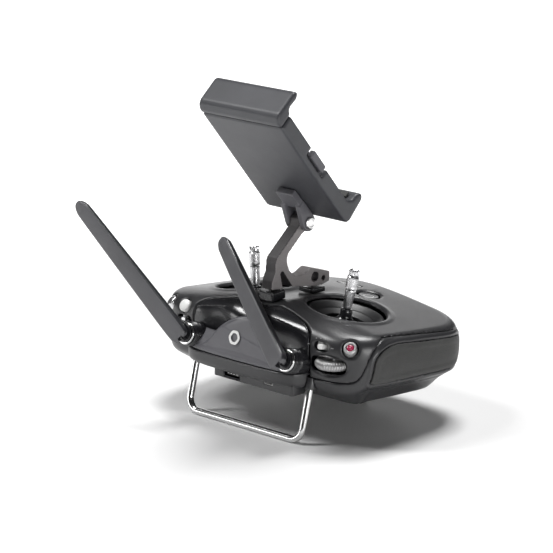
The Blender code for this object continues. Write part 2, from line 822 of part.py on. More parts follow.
def stick_sleeve(name, side):
    axis = well_axis(side)
    profile = [(2.05, -0.2), (2.7, -0.2), (2.9, 0.4), (3.5, 12.2), (3.1, 12.8), (2.05, 12.8)]
    sleeve = ring_solid(name, axis, profile, satin_silver(), 14)
    set_origin(sleeve, stick_pivot(side))
    return sleeve


def stick_knob(name, side):
    """Knurled head with a crowned tip, screwed on the post."""
    axis = well_axis(side)
    top = STICK_HEIGHT
    profile = [(2.05, 13.2), (3.3, 13.2), (3.9, 13.9), (3.9, top - 4.4), (3.5, top - 3.4), (3.5, top - 0.5)]
    profile += [(3.0, top), (0.4, top), (0.4, 16.6), (2.05, 16.0)]
    knob = ring_solid(name, axis, profile, satin_silver(), 16)
    set_origin(knob, stick_pivot(side))
    return knob


# ---------------------------------------------------------------- controls


def shoulder_dial(name, side):
    """Wheel lying in the shoulder, with its rim standing out of the slot."""
    out = shoulder_axis(side, DIAL_X, DIAL_Z, DIAL_SINK)
    axis = Axis(out.o, (0, 0, 1))
    profile = [(2.3, -3.2), (DIAL_RADIUS - 1.0, -3.2), (DIAL_RADIUS, -2.2), (DIAL_RADIUS, 2.2)]
    profile += [(DIAL_RADIUS - 1.0, 3.2), (2.3, 3.2)]
    dial = ring_solid(name, axis, profile, satin_silver(), 26)
    set_origin(dial, out.o)
    return dial


def dial_axle(name, side):
    out = shoulder_axis(side, DIAL_X, DIAL_Z, DIAL_SINK)
    axis = Axis(out.o, (0, 0, 1))
    return turned(name, axis, [(3.4, -5.6), (3.4, -3.7), (1.9, -3.6), (1.9, 4.8)], polished_steel(), 14)


def push_button(name, axis, radius, proud, depth, mat, crown=0.5, flange=1.0):
    """Round button with a flange that keeps it in its bore."""
    profile = [(radius + flange, -depth), (radius + flange, -depth + 0.6), (radius, -depth + 0.7)]
    profile += [(radius, proud - 0.7), (radius - 0.7, proud), (radius * 0.4, proud + crown)]
    button = turned(name, axis, profile, mat, 16)
    set_origin(button, axis.o)
    return button


def record_button():
    """Silver ring with a flange behind, dished for the red lens."""
    axis = shoulder_axis(1, RECORD_X, RECORD_Z)
    profile = [(2.6, 0.2), (2.6, 1.9), (3.5, 1.9), (4.3, 1.3), (4.4, -6.4)]
    profile += [(5.2, -6.5), (5.2, -7.1), (0.4, -7.1), (0.4, 0.2)]
    ring = ring_solid("record_button", axis, profile, satin_silver(), 16)
    set_origin(ring, axis.o)
    return ring


def record_lens():
    axis = shoulder_axis(1, RECORD_X, RECORD_Z)
    lens = turned("record_lens", axis, [(2.25, 0.55), (2.25, 1.5), (1.4, 2.0)], record_red(), 14)
    set_origin(lens, axis.o)
    return lens


def slider(name, axis, half_a, half_b, low, high, mat, plate_a, plate_b):
    """Switch knob with a wide plate under the slot."""
    knob = block(name, axis, half_a, half_b, low - 0.2, high, mat, min(half_a, half_b) * 0.6)
    add(knob, block(name + "_plate", axis, plate_a, plate_b, low - 1.2, low, mat, 0.5))
    set_origin(knob, axis.o)
    return knob


# ---------------------------------------------------------------- phone holder


def bracket_seat(name, y, height):
    """Block standing on the casing's top, under the cast arm."""
    seat = block(name, deck_axis(0, y), 6.5, 6.5, -3.5, height, gloss_plastic(), 1.0)
    cut(seat, casing_loft(name + "_bed", casing_rings(-GAP), gloss_plastic()))
    return seat


def arm_outline():
    """Side view (y, z) of the cast arm with its rear ear; a slit parts its foot from the ear."""
    pivot = (PIVOT_Y, PIVOT_Z)
    outline = [(22.0, 89.6), (33.2, 88.6), (30.6, 99.2), (32.9, 100.6), (42.2, 88.0), (62, 84.6), (71, 83.4)]
    outline += [(78.4, 84.9), (78.8, 91.5), (60.3, 97.5), (53.2, 94.4), (47.5, 94.2), (43.6, 95.8), (39.6, 99.6)]
    outline += [(37.6, 104.0), (37.2, 108.2), (38.6, 111.4), (51.5, 122.0)]
    start = -40
    for i in range(7):
        angle = radians(start + 250 * i / 6 - 15)
        outline.append((pivot[0] + 5.6 * cos(angle), pivot[1] + 5.6 * sin(angle)))
    outline += [(27.6, 110.4), (26.2, 107.5), (25.8, 101.0), (22.6, 95.0)]
    return outline


def holder_arm():
    arm = side_prism("holder_arm", arm_outline(), ARM_HALF, cast_metal())
    cut(arm, bore("arm_pivot_bore", Axis((0, PIVOT_Y, PIVOT_Z), (1, 0, 0)), 2.5, -8, 8, 16))
    cut(arm, bore("ear_large_hole", Axis((0, 64.2, 90.4), (1, 0, 0)), 3.4, -8, 8, 16))
    cut(arm, bore("ear_small_hole", Axis((0, 72.4, 88.0), (1, 0, 0)), 1.7, -8, 8, 12))
    return arm


def clamp_point(s, n):
    y = CLAMP_TOP[0] + s * cos(CLAMP_ANGLE) + n * sin(CLAMP_ANGLE)
    z = CLAMP_TOP[1] - s * sin(CLAMP_ANGLE) + n * cos(CLAMP_ANGLE)
    return (y, z)


def clamp_lift(a, b, h):
    """Outline in (s, n), extruded along X."""
    y, z = clamp_point(a, b)
    return (h, y, z)


def clamp_box(name, s_low, s_high, n_low, n_high, x_low, x_high, mat, radius=0.0):
    if radius:
        middle_s = (s_low + s_high) / 2
        middle_n = (n_low + n_high) / 2
        shape = rounded_rectangle((s_high - s_low) / 2, (n_high - n_low) / 2, radius, 3)
        outline = [(middle_s + a, middle_n + b) for a, b in shape]
    else:
        outline = [(s_low, n_low), (s_high, n_low), (s_high, n_high), (s_low, n_high)]
    return prism(name, outline, clamp_lift, x_low, x_high, mat)


def rounded_ends(obj, width=2.4, segments=2):
    """Small bevel along a piece's sharp edges."""
    bevel = obj.modifiers.new("soft_edges", "BEVEL")
    bevel.width = width * MM
    bevel.segments = segments
    bevel.limit_method = "ANGLE"
    bevel.angle_limit = radians(50)


def clamp_plate():
    """Back plate with the bottom lip; hollow for the sliding jaw's tongue."""
    end = CLAMP_LENGTH
    outline = [(HOOD_SEAM + GAP, 0), (end - 4, 0), (end - 1.2, 1.2), (end, 4), (end - 1.6, LIP_DEPTH - 2.4),
               (end - 3.6, LIP_DEPTH), (end - 6.6, LIP_DEPTH - 0.6), (end - 8.4, LIP_DEPTH - 4),
               (end - 8.8, CLAMP_THICKNESS + 3.5), (end - 12, CLAMP_THICKNESS + 0.4), (end - 14, CLAMP_THICKNESS),
               (HOOD_SEAM + GAP, CLAMP_THICKNESS)]
    plate = prism("clamp_plate", outline, clamp_lift, -CLAMP_HALF_WIDTH, CLAMP_HALF_WIDTH, panel_plastic())
    rounded_ends(plate, 1.2, 2)
    cut(plate, clamp_box("tongue_space", -8, 80, 2.6, 7.2, -20.6, 20.6, panel_plastic()))
    cut(plate, clamp_box("release_space", 29.4, 51.6, 4.6, 14, 29.6, 40, panel_plastic()))
    return plate


def clamp_jaw():
    """Upper jaw: the hood over the plate's end, with a tongue that slides in the plate."""
    top = HOOD_TOP
    outline = [(HOOD_SEAM, 0), (HOOD_SEAM, CLAMP_THICKNESS), (top + 5.6, CLAMP_THICKNESS + 1.6),
               (top + 4.6, CLAMP_THICKNESS + 3.4), (top + 5.2, HOOD_DEPTH - 3.5), (top + 3.6, HOOD_DEPTH - 0.4),
               (top + 1.6, HOOD_DEPTH), (top, HOOD_DEPTH - 2.4), (top, 5), (top + 1.4, 1.8), (top + 4.6, 0)]
    jaw = prism("clamp_jaw", outline, clamp_lift, -CLAMP_HALF_WIDTH, CLAMP_HALF_WIDTH, panel_plastic())
    rounded_ends(jaw, 1.6, 2)
    add(jaw, clamp_box("jaw_tongue", HOOD_SEAM - 3, 74, 3.1, 6.7, -20, 20, panel_plastic()))
    return jaw


def jaw_pad(name, s_low, s_high, n_low, n_high):
    """Thin rubber liner on a jaw's gripping face."""
    return clamp_box(name, s_low, s_high, n_low, n_high, -29, 29, grip_rubber())


def clamp_release():
    """Sliding-jaw release, let into the plate's edge."""
    key = clamp_box("clamp_release", 29.9, 51.1, 5.1, 12.0, 31.5, 35.9, panel_plastic())
    rounded_ends(key, 0.7, 1)
    return key


def clamp_knuckle():
    """Boss under the plate with two lugs that straddle the arm."""
    pivot_s = (PIVOT_Y - CLAMP_TOP[0]) * cos(CLAMP_ANGLE) - (PIVOT_Z - CLAMP_TOP[1]) * sin(CLAMP_ANGLE)
    pivot_n = (PIVOT_Y - CLAMP_TOP[0]) * sin(CLAMP_ANGLE) + (PIVOT_Z - CLAMP_TOP[1]) * cos(CLAMP_ANGLE)
    body = clamp_box("clamp_knuckle", 65, 79.5, -5.2, -GAP, -7.3, 7.3, panel_plastic(), 0.6)
    for side in (1, -1):
        lug = [(76, -GAP), (76, -6.5)]
        for i in range(9):
            angle = radians(-115 + 205 * i / 8)
            lug.append((pivot_s + 5.9 * cos(angle), pivot_n + 5.9 * sin(angle)))
        inner = ARM_HALF + 0.4
        low, high = sorted((side * inner, side * 8.4))
        add(body, prism(f"knuckle_lug_{side}", lug, clamp_lift, low, high, panel_plastic()))
    cut(body, bore("knuckle_bore", Axis((0, PIVOT_Y, PIVOT_Z), (1, 0, 0)), 2.5, -12, 12, 16))
    return body


def holder_pin():
    """Pivot pin with a silver cap on each end."""
    axis = Axis((0, PIVOT_Y, PIVOT_Z), (1, 0, 0))
    profile = [(3.4, -10.0), (4.2, -9.4), (4.2, -8.8), (2.1, -8.7), (2.1, 8.7), (4.2, 8.8), (4.2, 9.4), (3.4, 10.0)]
    return turned("holder_pin", axis, profile, satin_silver(), 18)


# ---------------------------------------------------------------- inside


def inner_box(name, low, high, mat):
    outline = [(low[0], low[1]), (high[0], low[1]), (high[0], high[1]), (low[0], high[1])]
    return plan_prism(name, outline, low[2], high[2], mat)


def main():
    clear_scene()
    top_shell()
    bottom_shell()
    front_cover()
    logo_panel()
    handle()
    port_block()
    socket_sleeve("usb_a_port", -8.4, 35.7, 6.6, 2.3, 0.35)
    rear_foot()
    block("charge_port", charge_axis(), 6.9, 3.9, -5.5, 0.3, gloss_plastic(), 1.0)
    inner_box("battery", (-34, 66, 24), (34, 108, 42), panel_plastic())
    inner_box("main_board", (-58, 86, 50.0), (58, 120, 51.6), circuit_green())
    for word, side, swing, fold in (("left", -1, LEFT_SWING, LEFT_FOLD), ("right", 1, RIGHT_SWING, RIGHT_FOLD)):
        grip_pad(f"{word}_grip_pad", side)
        leg_collar(f"{word}_handle_collar", side)
        gimbal_housing(f"{word}_gimbal_housing", side)
        gimbal_yoke(f"{word}_gimbal_yoke", side)
        stick_shaft(f"{word}_stick_shaft", side)
        stick_sleeve(f"{word}_stick_sleeve", side)
        stick_knob(f"{word}_stick_knob", side)
        antenna_mount(f"{word}_antenna_mount", side)
        antenna_ring(f"{word}_antenna_ring", side)
        antenna_hinge(f"{word}_antenna_hinge", side, swing)
        antenna_pin(f"{word}_antenna_pin", side, swing)
        antenna_paddle(f"{word}_antenna", side, swing, fold)
    shoulder_dial("gimbal_dial", 1)
    dial_axle("gimbal_dial_axle", 1)
    shoulder_dial("camera_dial", -1)
    dial_axle("camera_dial_axle", -1)
    record_button()
    record_lens()
    push_button("shutter_button", shoulder_axis(-1, RECORD_X, RECORD_Z), 4.4, 1.9, 7.1, satin_silver(), 0.9, 0.8)
    push_button("playback_button", shoulder_axis(-1, PLAYBACK_X, PLAYBACK_Z), 4.2, 0.9, 5.75, satin_silver(), 0.5, 0.45)
    slider("transformation_switch", shoulder_axis(1, SWITCH_X, SWITCH_Z), 1.9, 1.7, -4.8, 1.0, satin_silver(), 6.4, 2.7)
    slider("mode_switch", shoulder_axis(-1, MODE_X, MODE_Z), 1.9, 1.1, -5.4, 0.8, satin_silver(), 6.9, 1.75)
    push_button("rth_button", deck_axis(25, 95), 6.9, -0.6, 5.4, satin_silver(), -0.3)
    push_button("power_button", deck_axis(-25, 95), 6.9, -0.6, 5.4, satin_silver(), -0.3)
    block("battery_lights", deck_axis(0, 104), 10.0, 1.6, -3.4, -0.3, gloss_plastic(), 1.4)
    push_button("c1_button", belly_axis(-28, 83), 4.5, 0.3, 5.2, shell_plastic())
    push_button("c2_button", belly_axis(28, 83), 4.5, 0.3, 5.2, shell_plastic())
    bracket_seat("bracket_seat_front", 27.5, 6.0)
    bracket_seat("bracket_seat_rear", 66.0, 4.2)
    holder_arm()
    holder_pin()
    tilting = [clamp_plate(), clamp_jaw(), clamp_release(), clamp_knuckle()]
    tilting.append(jaw_pad("lower_jaw_pad", 84.6, 85.8, CLAMP_THICKNESS + 4, CLAMP_THICKNESS + 7.8))
    tilting.append(jaw_pad("upper_jaw_pad", -4.6, -3.4, CLAMP_THICKNESS + 4, CLAMP_THICKNESS + 10))
    for piece in tilting:
        set_origin(piece, (0, PIVOT_Y, PIVOT_Z))


main()
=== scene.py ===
"""Radio transmitter controller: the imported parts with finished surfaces, camera and light."""

import json
from math import cos, exp, hypot, pi, radians, sin, sqrt

import bmesh
import bpy
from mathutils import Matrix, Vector


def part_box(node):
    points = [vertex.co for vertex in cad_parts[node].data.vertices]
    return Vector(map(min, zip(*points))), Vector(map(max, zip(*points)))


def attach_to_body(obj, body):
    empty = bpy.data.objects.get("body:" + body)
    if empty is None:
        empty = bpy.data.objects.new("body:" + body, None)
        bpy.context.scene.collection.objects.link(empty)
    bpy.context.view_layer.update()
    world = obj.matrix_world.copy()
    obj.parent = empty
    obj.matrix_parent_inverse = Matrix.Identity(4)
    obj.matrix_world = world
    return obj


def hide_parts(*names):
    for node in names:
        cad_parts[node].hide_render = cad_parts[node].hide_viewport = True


MM = 0.001

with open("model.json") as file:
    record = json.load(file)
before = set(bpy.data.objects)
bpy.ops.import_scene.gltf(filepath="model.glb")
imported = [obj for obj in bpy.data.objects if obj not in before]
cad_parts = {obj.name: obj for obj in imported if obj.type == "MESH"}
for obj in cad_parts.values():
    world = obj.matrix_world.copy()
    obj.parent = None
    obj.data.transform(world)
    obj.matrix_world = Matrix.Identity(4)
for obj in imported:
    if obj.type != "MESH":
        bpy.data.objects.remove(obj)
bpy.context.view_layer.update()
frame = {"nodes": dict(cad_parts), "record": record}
nodes = frame["nodes"]


# ---------------------------------------------------------------- materials


class Graph:
    """A material's node tree, with short calls for the nodes used here."""

    def __init__(self, name):
        self.material = bpy.data.materials.new(f"{name}_finish")
        self.material.use_nodes = True
        self.tree = self.material.node_tree
        self.shader = self.tree.nodes["Principled BSDF"]
        self.coords = self.add("ShaderNodeTexCoord").outputs["Object"]

    def add(self, kind, **values):
        node = self.tree.nodes.new(kind)
        for key, value in values.items():
            setattr(node, key, value)
        return node

    def link(self, a, b):
        self.tree.links.new(a, b)

    def feed(self, socket, output):
        self.link(output, self.shader.inputs[socket])

    def put(self, socket, value):
        self.shader.inputs[socket].default_value = value

    def noise(self, scale, detail=2.0, roughness=0.5, stretch=None):
        node = self.add("ShaderNodeTexNoise")
        node.inputs["Scale"].default_value = scale
        node.inputs["Detail"].default_value = detail
        node.inputs["Roughness"].default_value = roughness
        self.link(self.mapped(stretch), node.inputs["Vector"])
        return node.outputs["Fac"]

    def cells(self, scale, stretch=None):
        node = self.add("ShaderNodeTexVoronoi")
        node.inputs["Scale"].default_value = scale
        self.link(self.mapped(stretch), node.inputs["Vector"])
        return node.outputs["Distance"]

    def mapped(self, stretch):
        if stretch is None:
            return self.coords
        node = self.add("ShaderNodeMapping")
        node.inputs["Scale"].default_value = stretch
        self.link(self.coords, node.inputs["Vector"])
        return node.outputs["Vector"]

    def ramp(self, value, stops):
        node = self.add("ShaderNodeValToRGB")
        ramp = node.color_ramp
        while len(ramp.elements) < len(stops):
            ramp.elements.new(0.5)
        for element, (at, colour) in zip(ramp.elements, stops):
            element.position = at
            element.color = (*colour, 1.0)
        self.link(value, node.inputs["Fac"])
        return node.outputs["Color"]

    def levels(self, value, low, high):
        """A 0 to 1 value spread to low .. high."""
        node = self.add("ShaderNodeMapRange")
        node.inputs["To Min"].default_value = low
        node.inputs["To Max"].default_value = high
        self.link(value, node.inputs["Value"])
        return node.outputs["Result"]

    def bump(self, height, distance, strength=1.0, below=None):
        node = self.add("ShaderNodeBump")
        node.inputs["Distance"].default_value = distance
        node.inputs["Strength"].default_value = strength
        self.link(height, node.inputs["Height"])
        if below is not None:
            self.link(below, node.inputs["Normal"])
        return node.outputs["Normal"]


def plastic(name, colour, roughness, grain, depth, spread=0.12, coat=0.0, specular=0.5):
    """Moulded plastic: spark-eroded grain, faint blotches in colour and gloss."""
    g = Graph(name)
    dark = [c * (1 - spread) for c in colour]
    light = [c * (1 + spread) for c in colour]
    blotch = g.noise(38.0, 3.0, 0.6)
    g.feed("Base Color", g.ramp(blotch, [(0.3, dark), (0.7, light)]))
    gleam = g.levels(g.noise(60.0, 4.0, 0.6), roughness - 0.05, roughness + 0.05)
    g.feed("Roughness", gleam)
    g.feed("Normal", g.bump(g.noise(grain, 2.0, 0.6), depth))
    g.put("Coat Weight", coat)
    g.put("Coat Roughness", 0.08)
    g.put("Specular IOR Level", specular)
    return g.material


def rubber(name, colour):
    """Matt rubber with a fine pitted skin."""
    g = Graph(name)
    dark = [c * 0.82 for c in colour]
    light = [c * 1.15 for c in colour]
    g.feed("Base Color", g.ramp(g.noise(25.0, 4.0, 0.6), [(0.3, dark), (0.7, light)]))
    g.feed("Roughness", g.levels(g.noise(300.0, 3.0, 0.6), 0.62, 0.78))
    pits = g.bump(g.cells(1500.0), 0.00012)
    g.feed("Normal", g.bump(g.noise(2600.0, 2.0), 0.00005, below=pits))
    g.put("Sheen Weight", 0.08)
    g.put("Sheen Roughness", 0.4)
    return g.material


def metal(name, colour, roughness, stretch, scale=900.0, depth=0.00002, metallic=1.0):
    """Metal with fine drawn or turned streaks."""
    g = Graph(name)
    streaks = g.noise(scale, 3.0, 0.6, stretch)
    dark = [c * 0.86 for c in colour]
    light = [min(1.0, c * 1.1) for c in colour]
    g.feed("Base Color", g.ramp(streaks, [(0.3, dark), (0.7, light)]))
    gleam = g.noise(scale * 0.4, 3.0, 0.6, stretch)
    g.feed("Roughness", g.levels(gleam, roughness * 0.75, roughness * 1.3))
    g.feed("Normal", g.bump(streaks, depth))
    g.put("Metallic", metallic)
    return g.material


SHELL = plastic("shell_plastic", (0.027, 0.027, 0.029), 0.33, 2600.0, 0.00003)
PANEL = plastic("panel_plastic", (0.095, 0.094, 0.104), 0.44, 2400.0, 0.00003)
HOOD = plastic("hood_plastic", (0.045, 0.046, 0.052), 0.42, 2400.0, 0.00003)
GLOSS = plastic("gloss_plastic", (0.012, 0.012, 0.014), 0.26, 300.0, 0.000004, 0.2, 0.25)
RUBBER = rubber("grip_rubber", (0.043, 0.043, 0.042))
SILVER = metal("satin_silver", (0.72, 0.72, 0.73), 0.28, (1.0, 1.0, 6.0))
STICK = metal("stick_alloy", (0.27, 0.27, 0.25), 0.42, (1.0, 1.0, 4.0))
STEEL = metal("polished_steel", (0.66, 0.66, 0.66), 0.16, (0.15, 1.0, 1.0), 1400.0, 0.000008)
CAST = metal("cast_alloy", (0.24, 0.225, 0.225), 0.5, None, 1800.0, 0.00004, 0.35)
RED = plastic("record_red", (0.34, 0.022, 0.07), 0.26, 1200.0, 0.00001, 0.15, 0.5)
BOARD = plastic("circuit_board", (0.02, 0.13, 0.06), 0.45, 900.0, 0.00003)
WHITE = plastic("white_plastic", (0.74, 0.74, 0.73), 0.38, 2200.0, 0.00001, 0.03)
TICK = plastic("printed_mark", (0.45, 0.45, 0.45), 0.5, 2200.0, 0.00001, 0.05)
GREY_METAL = metal("matt_silver", (0.42, 0.42, 0.42), 0.42, (1.0, 1.0, 5.0), 900.0, 0.00001, 0.75)
WHITE_METAL = metal("bright_pin", (0.86, 0.86, 0.86), 0.3, (1.0, 1.0, 5.0))
# Dark plastic of the stick cups, made darker than the shell as painted shade in the deep wells.
DISH_AND_WELL_SHADE = plastic("gimbal_dish_and_painted_shade", (0.014, 0.014, 0.015), 0.42, 1200.0, 0.00001, 0.1)
BUTTON = plastic("button", (0.075, 0.075, 0.078), 0.34, 1200.0, 0.00001, 0.06, 0.2)
GUNMETAL = metal("dark_metal", (0.05, 0.05, 0.055), 0.35, (1.0, 1.0, 5.0))
# Painted shade: a dark copy of the cast alloy for the holder arm's front-facing faces, darkened to stand
# for shade.
CAST_PAINTED_SHADE = metal("cast_alloy_painted_shade", (0.045, 0.042, 0.043), 0.5, None, 1800.0, 0.00004, 0.2)
ANTENNA = plastic("antenna_face", (0.090, 0.090, 0.096), 0.52, 2400.0, 0.00003)
# Painted shade: a darker, glossier copy of the antenna plastic for the paddle's sides and rounded tip.
ANTENNA_PAINTED_SHADE = plastic("antenna_edge_painted_shade", (0.022, 0.022, 0.025), 0.3, 2400.0, 0.00002, 0.1, 0.2)
FINISH = {
    "shell_plastic": SHELL, "panel_plastic": PANEL, "gloss_plastic": GLOSS, "grip_rubber": RUBBER,
    "satin_silver": SILVER, "polished_steel": STEEL, "cast_metal": CAST, "record_red": RED,
    "circuit_green": BOARD,
}

# ---------------------------------------------------------------- mesh helpers

BODY_OF = {}
for body, members in frame["record"]["behaviour"]["bodies"].items():
    for member in members:
        BODY_OF[member] = body
SLOT_OF = {part["node"]: part["material_slot"] for part in frame["record"]["subparts"]}


def placed(name, data):
    """New object of a mesh, light or camera, put into the scene."""
    obj = bpy.data.objects.new(name, data)
    bpy.context.scene.collection.objects.link(obj)
    return obj


def new_object(name, verts, faces, scale=MM):
    """Object from points in millimetres, with its faces turned outwards."""
    mesh = bpy.data.meshes.new(name)
    mesh.from_pydata([Vector(v) * scale for v in verts], [], faces)
    bm = bmesh.new()
    bm.from_mesh(mesh)
    bmesh.ops.recalc_face_normals(bm, faces=bm.faces)
    if bm.calc_volume(signed=True) < 0:
        bmesh.ops.reverse_faces(bm, faces=bm.faces)
    bm.to_mesh(mesh)
    bm.free()
    return placed(name, mesh)


def bake(obj):
    """Applies an object's modifiers to its mesh."""
    bpy.context.view_layer.update()
    graph = bpy.context.evaluated_depsgraph_get()
    mesh = bpy.data.meshes.new_from_object(obj.evaluated_get(graph))
    obj.modifiers.clear()
    old = obj.data
    obj.data = mesh
    bpy.data.meshes.remove(old)


def combine(obj, other, operation):
    """Boolean with another object, which is used up."""
    modifier = obj.modifiers.new("boolean", "BOOLEAN")
    modifier.operation = operation
    modifier.solver = "EXACT"
    modifier.object = other
    bake(obj)
    mesh = other.data
    bpy.data.objects.remove(other, do_unlink=True)
    bpy.data.meshes.remove(mesh)


def cut(obj, *cutters):
    for cutter in cutters:
        combine(obj, cutter, "DIFFERENCE")


def soften(obj, voxel, rounds, keep=1.0):
    """Rounds every edge: an even remesh, smoothed, then thinned to a share of its faces."""
    remesh = obj.modifiers.new("remesh", "REMESH")
    remesh.mode = "VOXEL"
    remesh.voxel_size = voxel * MM
    smooth = obj.modifiers.new("smooth", "SMOOTH")
    smooth.factor = 0.5
    smooth.iterations = rounds
    bake(obj)
    if keep < 1.0:
        thin(obj, keep)
    obj.data.shade_smooth()


def crease(mesh, degrees):
    """Smooth shading, with edges sharper than this angle kept crisp."""
    mesh.shade_smooth()
    mesh.set_sharp_from_angle(angle=radians(degrees))


def thin(obj, keep):
    decimate = obj.modifiers.new("thin", "DECIMATE")
    decimate.ratio = keep
    bake(obj)
    obj.data.shade_smooth()


for part in frame["record"]["subparts"]:
    cad_mesh = nodes[part["node"]].data
    cad_mesh.materials.clear()
    cad_mesh.materials.append(FINISH[part["material_slot"]])
    crease(cad_mesh, 32)


def publish(obj, *replaced, finish=None):
    """The piece rides on its first CAD node's body and stands for all the nodes named."""
    first = replaced[0]
    obj.data.materials.clear()
    obj.data.materials.append(finish or FINISH[SLOT_OF[first]])
    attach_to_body(obj, BODY_OF[first])
    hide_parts(*replaced)
    return obj


def attach(obj, body, finish):
    """A small extra piece that stands for no CAD node."""
    obj.data.materials.clear()
    obj.data.materials.append(finish)
    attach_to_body(obj, body)
    return obj


def copy_of(node):
    """A welded copy of a CAD node's mesh."""
    mesh = nodes[node].data.copy()
    bm = bmesh.new()
    bm.from_mesh(mesh)
    bmesh.ops.remove_doubles(bm, verts=bm.verts, dist=1e-6)
    bm.to_mesh(mesh)
    bm.free()
    return placed(f"{node}_fine", mesh)


def refine(node, voxel, rounds, keep=1.0, finish=None):
    """The CAD node with its edges rounded off."""
    obj = copy_of(node)
    soften(obj, voxel, rounds, keep)
    return publish(obj, node, finish=finish)


def grid(rings, closed=False):
    """Faces of a skin through rings of equal length; closed joins the last ring to the first."""
    count = len(rings[0])
    verts = [p for ring in rings for p in ring]
    faces = []
    turns = len(rings) if closed else len(rings) - 1
    for i in range(turns):
        n = (i + 1) % len(rings)
        for j in range(count):
            k = (j + 1) % count
            faces.append((i * count + j, i * count + k, n * count + k, n * count + j))
    return verts, faces


def loft(name, rings, ladder=False):
    """Closed solid through rings; ladder caps its ends with rows of quads."""
    verts, faces = grid(rings)
    count = len(rings[0])
    for start in (0, (len(rings) - 1) * count):
        if not ladder:
            faces.append(tuple(start + j for j in range(count)))
            continue
        half, quarter = count // 2, count // 4
        for k in range(-quarter, quarter):
            corners = []
            for index in (k, k + 1, half - k - 1, half - k):
                if start + index % count not in corners:
                    corners.append(start + index % count)
            if len(corners) > 2:
                faces.append(tuple(corners))
    return new_object(name, verts, faces)


class Axis:
    """A local frame: origin, unit axis w, and two unit vectors u and v across it."""

    def __init__(self, origin, w, u_hint=(1, 0, 0)):
        self.o = Vector(origin)
        self.w = Vector(w).normalized()
        hint = Vector(u_hint)
        if abs(hint.normalized().dot(self.w)) > 0.99:
            hint = Vector((0, 1, 0))
        self.u = (hint - self.w * hint.dot(self.w)).normalized()
        self.v = self.w.cross(self.u)

    def at(self, a, b, h):
        return self.o + self.u * a + self.v * b + self.w * h

    def local(self, point):
        d = point - self.o
        return d.dot(self.u), d.dot(self.v), d.dot(self.w)


def prism(name, outline, lift, low, high):
    """Solid between two heights of an outline; lift(a, b, h) places a point."""
    return loft(name, [[lift(a, b, h) for a, b in outline] for h in (low, high)])


def upright(a, b, h):
    return (a, b, h)


def side_prism(name, outline, half, centre=0.0):
    """Prism across the casing from a (y, z) outline."""
    return prism(name, outline, lambda a, b, h: (centre + h, a, b), -half, half)


def rounded_rectangle(half_a, half_b, radius, steps=5):
    points = []
    for sign_a, sign_b, start in ((1, 1, 0), (-1, 1, 90), (-1, -1, 180), (1, -1, 270)):
        for i in range(steps + 1):
            angle = radians(start + 90 * i / steps)
            points.append((sign_a * (half_a - radius) + radius * cos(angle),
                           sign_b * (half_b - radius) + radius * sin(angle)))
    return points


def block(name, axis, half_a, half_b, low, high, radius=1.0):
    """Box with rounded upright corners, on an axis."""
    return prism(name, rounded_rectangle(half_a, half_b, radius), axis.at, low, high)


def turned(name, axis, profile, segments=48, shape=None):
    """Solid of revolution from a closed (radius, height) profile, or one that starts and ends at radius 0.

    shape(angle, radius, height) returns the radius, for knurls and ridges.
    """
    rings = []
    for i in range(segments):
        angle = 2 * pi * i / segments
        ring = []
        for r, h in profile:
            reach = shape(angle, r, h) if shape else r
            ring.append(axis.at(reach * cos(angle), reach * sin(angle), h))
        rings.append(ring)
    verts, faces = grid(rings, closed=True)
    obj = new_object(name, verts, faces)
    if profile[0][0] < 1e-6:
        bm = bmesh.new()
        bm.from_mesh(obj.data)
        bmesh.ops.remove_doubles(bm, verts=bm.verts, dist=1e-7)
        bmesh.ops.dissolve_degenerate(bm, dist=1e-7, edges=bm.edges)
        bmesh.ops.delete(bm, geom=[e for e in bm.edges if e.is_wire], context="EDGES")
        bmesh.ops.recalc_face_normals(bm, faces=bm.faces)
        bm.to_mesh(obj.data)
        bm.free()
    crease(obj.data, 38)
    return obj


def turned_node(node, axis, profile, segments, finish=None, shape=None):
    """A turned piece in place of a CAD node."""
    return publish(turned(f"{node}_fine", axis, profile, segments, shape), node, finish=finish)


def fillet(profile, radius=0.35, steps=3):
    """Rounds the corners of a (radius, height) profile."""
    rounded = []
    count = len(profile)
    for i, (r, h) in enumerate(profile):
        before, after = Vector(profile[i - 1]), Vector(profile[(i + 1) % count])
        here = Vector((r, h))
        if r < 1e-6:
            rounded.append((r, h))
            continue
        one, two = before - here, after - here
        reach = min(radius, one.length * 0.4, two.length * 0.4)
        start, end = here + one.normalized() * reach, here + two.normalized() * reach
        for k in range(steps + 1):
            t = k / steps
            p = start * (1 - t) ** 2 + here * 2 * t * (1 - t) + end * t * t
            rounded.append((p.x, p.y))
    return rounded


def curve_through(points, steps):
    """Catmull-Rom curve through an open row of tuples."""
    result = []
    last = len(points) - 1
    for i in range(last):
        p0, p1, p2, p3 = points[max(0, i - 1)], points[i], points[i + 1], points[min(last, i + 2)]
        for k in range(steps):
            t = k / steps
            result.append(tuple(
                0.5 * (2 * b + (c - a) * t + (2 * a - 5 * b + 4 * c - d) * t * t
                       + (3 * b - a - 3 * c + d) * t ** 3)
                for a, b, c, d in zip(p0, p1, p2, p3)))
    result.append(tuple(points[last]))
    return result


def reshape(obj, move):
    """Moves each vertex by move(point, normal) in millimetres."""
    mesh = obj.data
    shifts = [move(v.co / MM, v.normal) for v in mesh.vertices]
    for vertex, shift in zip(mesh.vertices, shifts):
        if shift:
            vertex.co += shift * MM
    mesh.update()


# ---------------------------------------------------------------- casing skin

GAP = 0.35
HALF_WIDTH = 95.0
FRONT_Y, REAR_Y = 4.0, 128.0
FRONT_RADIUS, REAR_RADIUS = 31.0, 35.0
WALL = 2.4
TOP_AT_WELLS, TOP_SLOPE = 82.2, 0.11
CROWN_HEIGHT, CROWN_RADIUS = 5.95, 31.3
BELLY_FRONT, BELLY_SLOPE = 31.5, 0.245
FLANK_FRONT, FLANK_SLOPE = 26.3, 0.075
COVER_HALF_WIDTH = 52.0
COVER_BOTTOM_Z = 48.0
FACE_TILT = radians(16.0)
WELL_RADIUS = 25.5

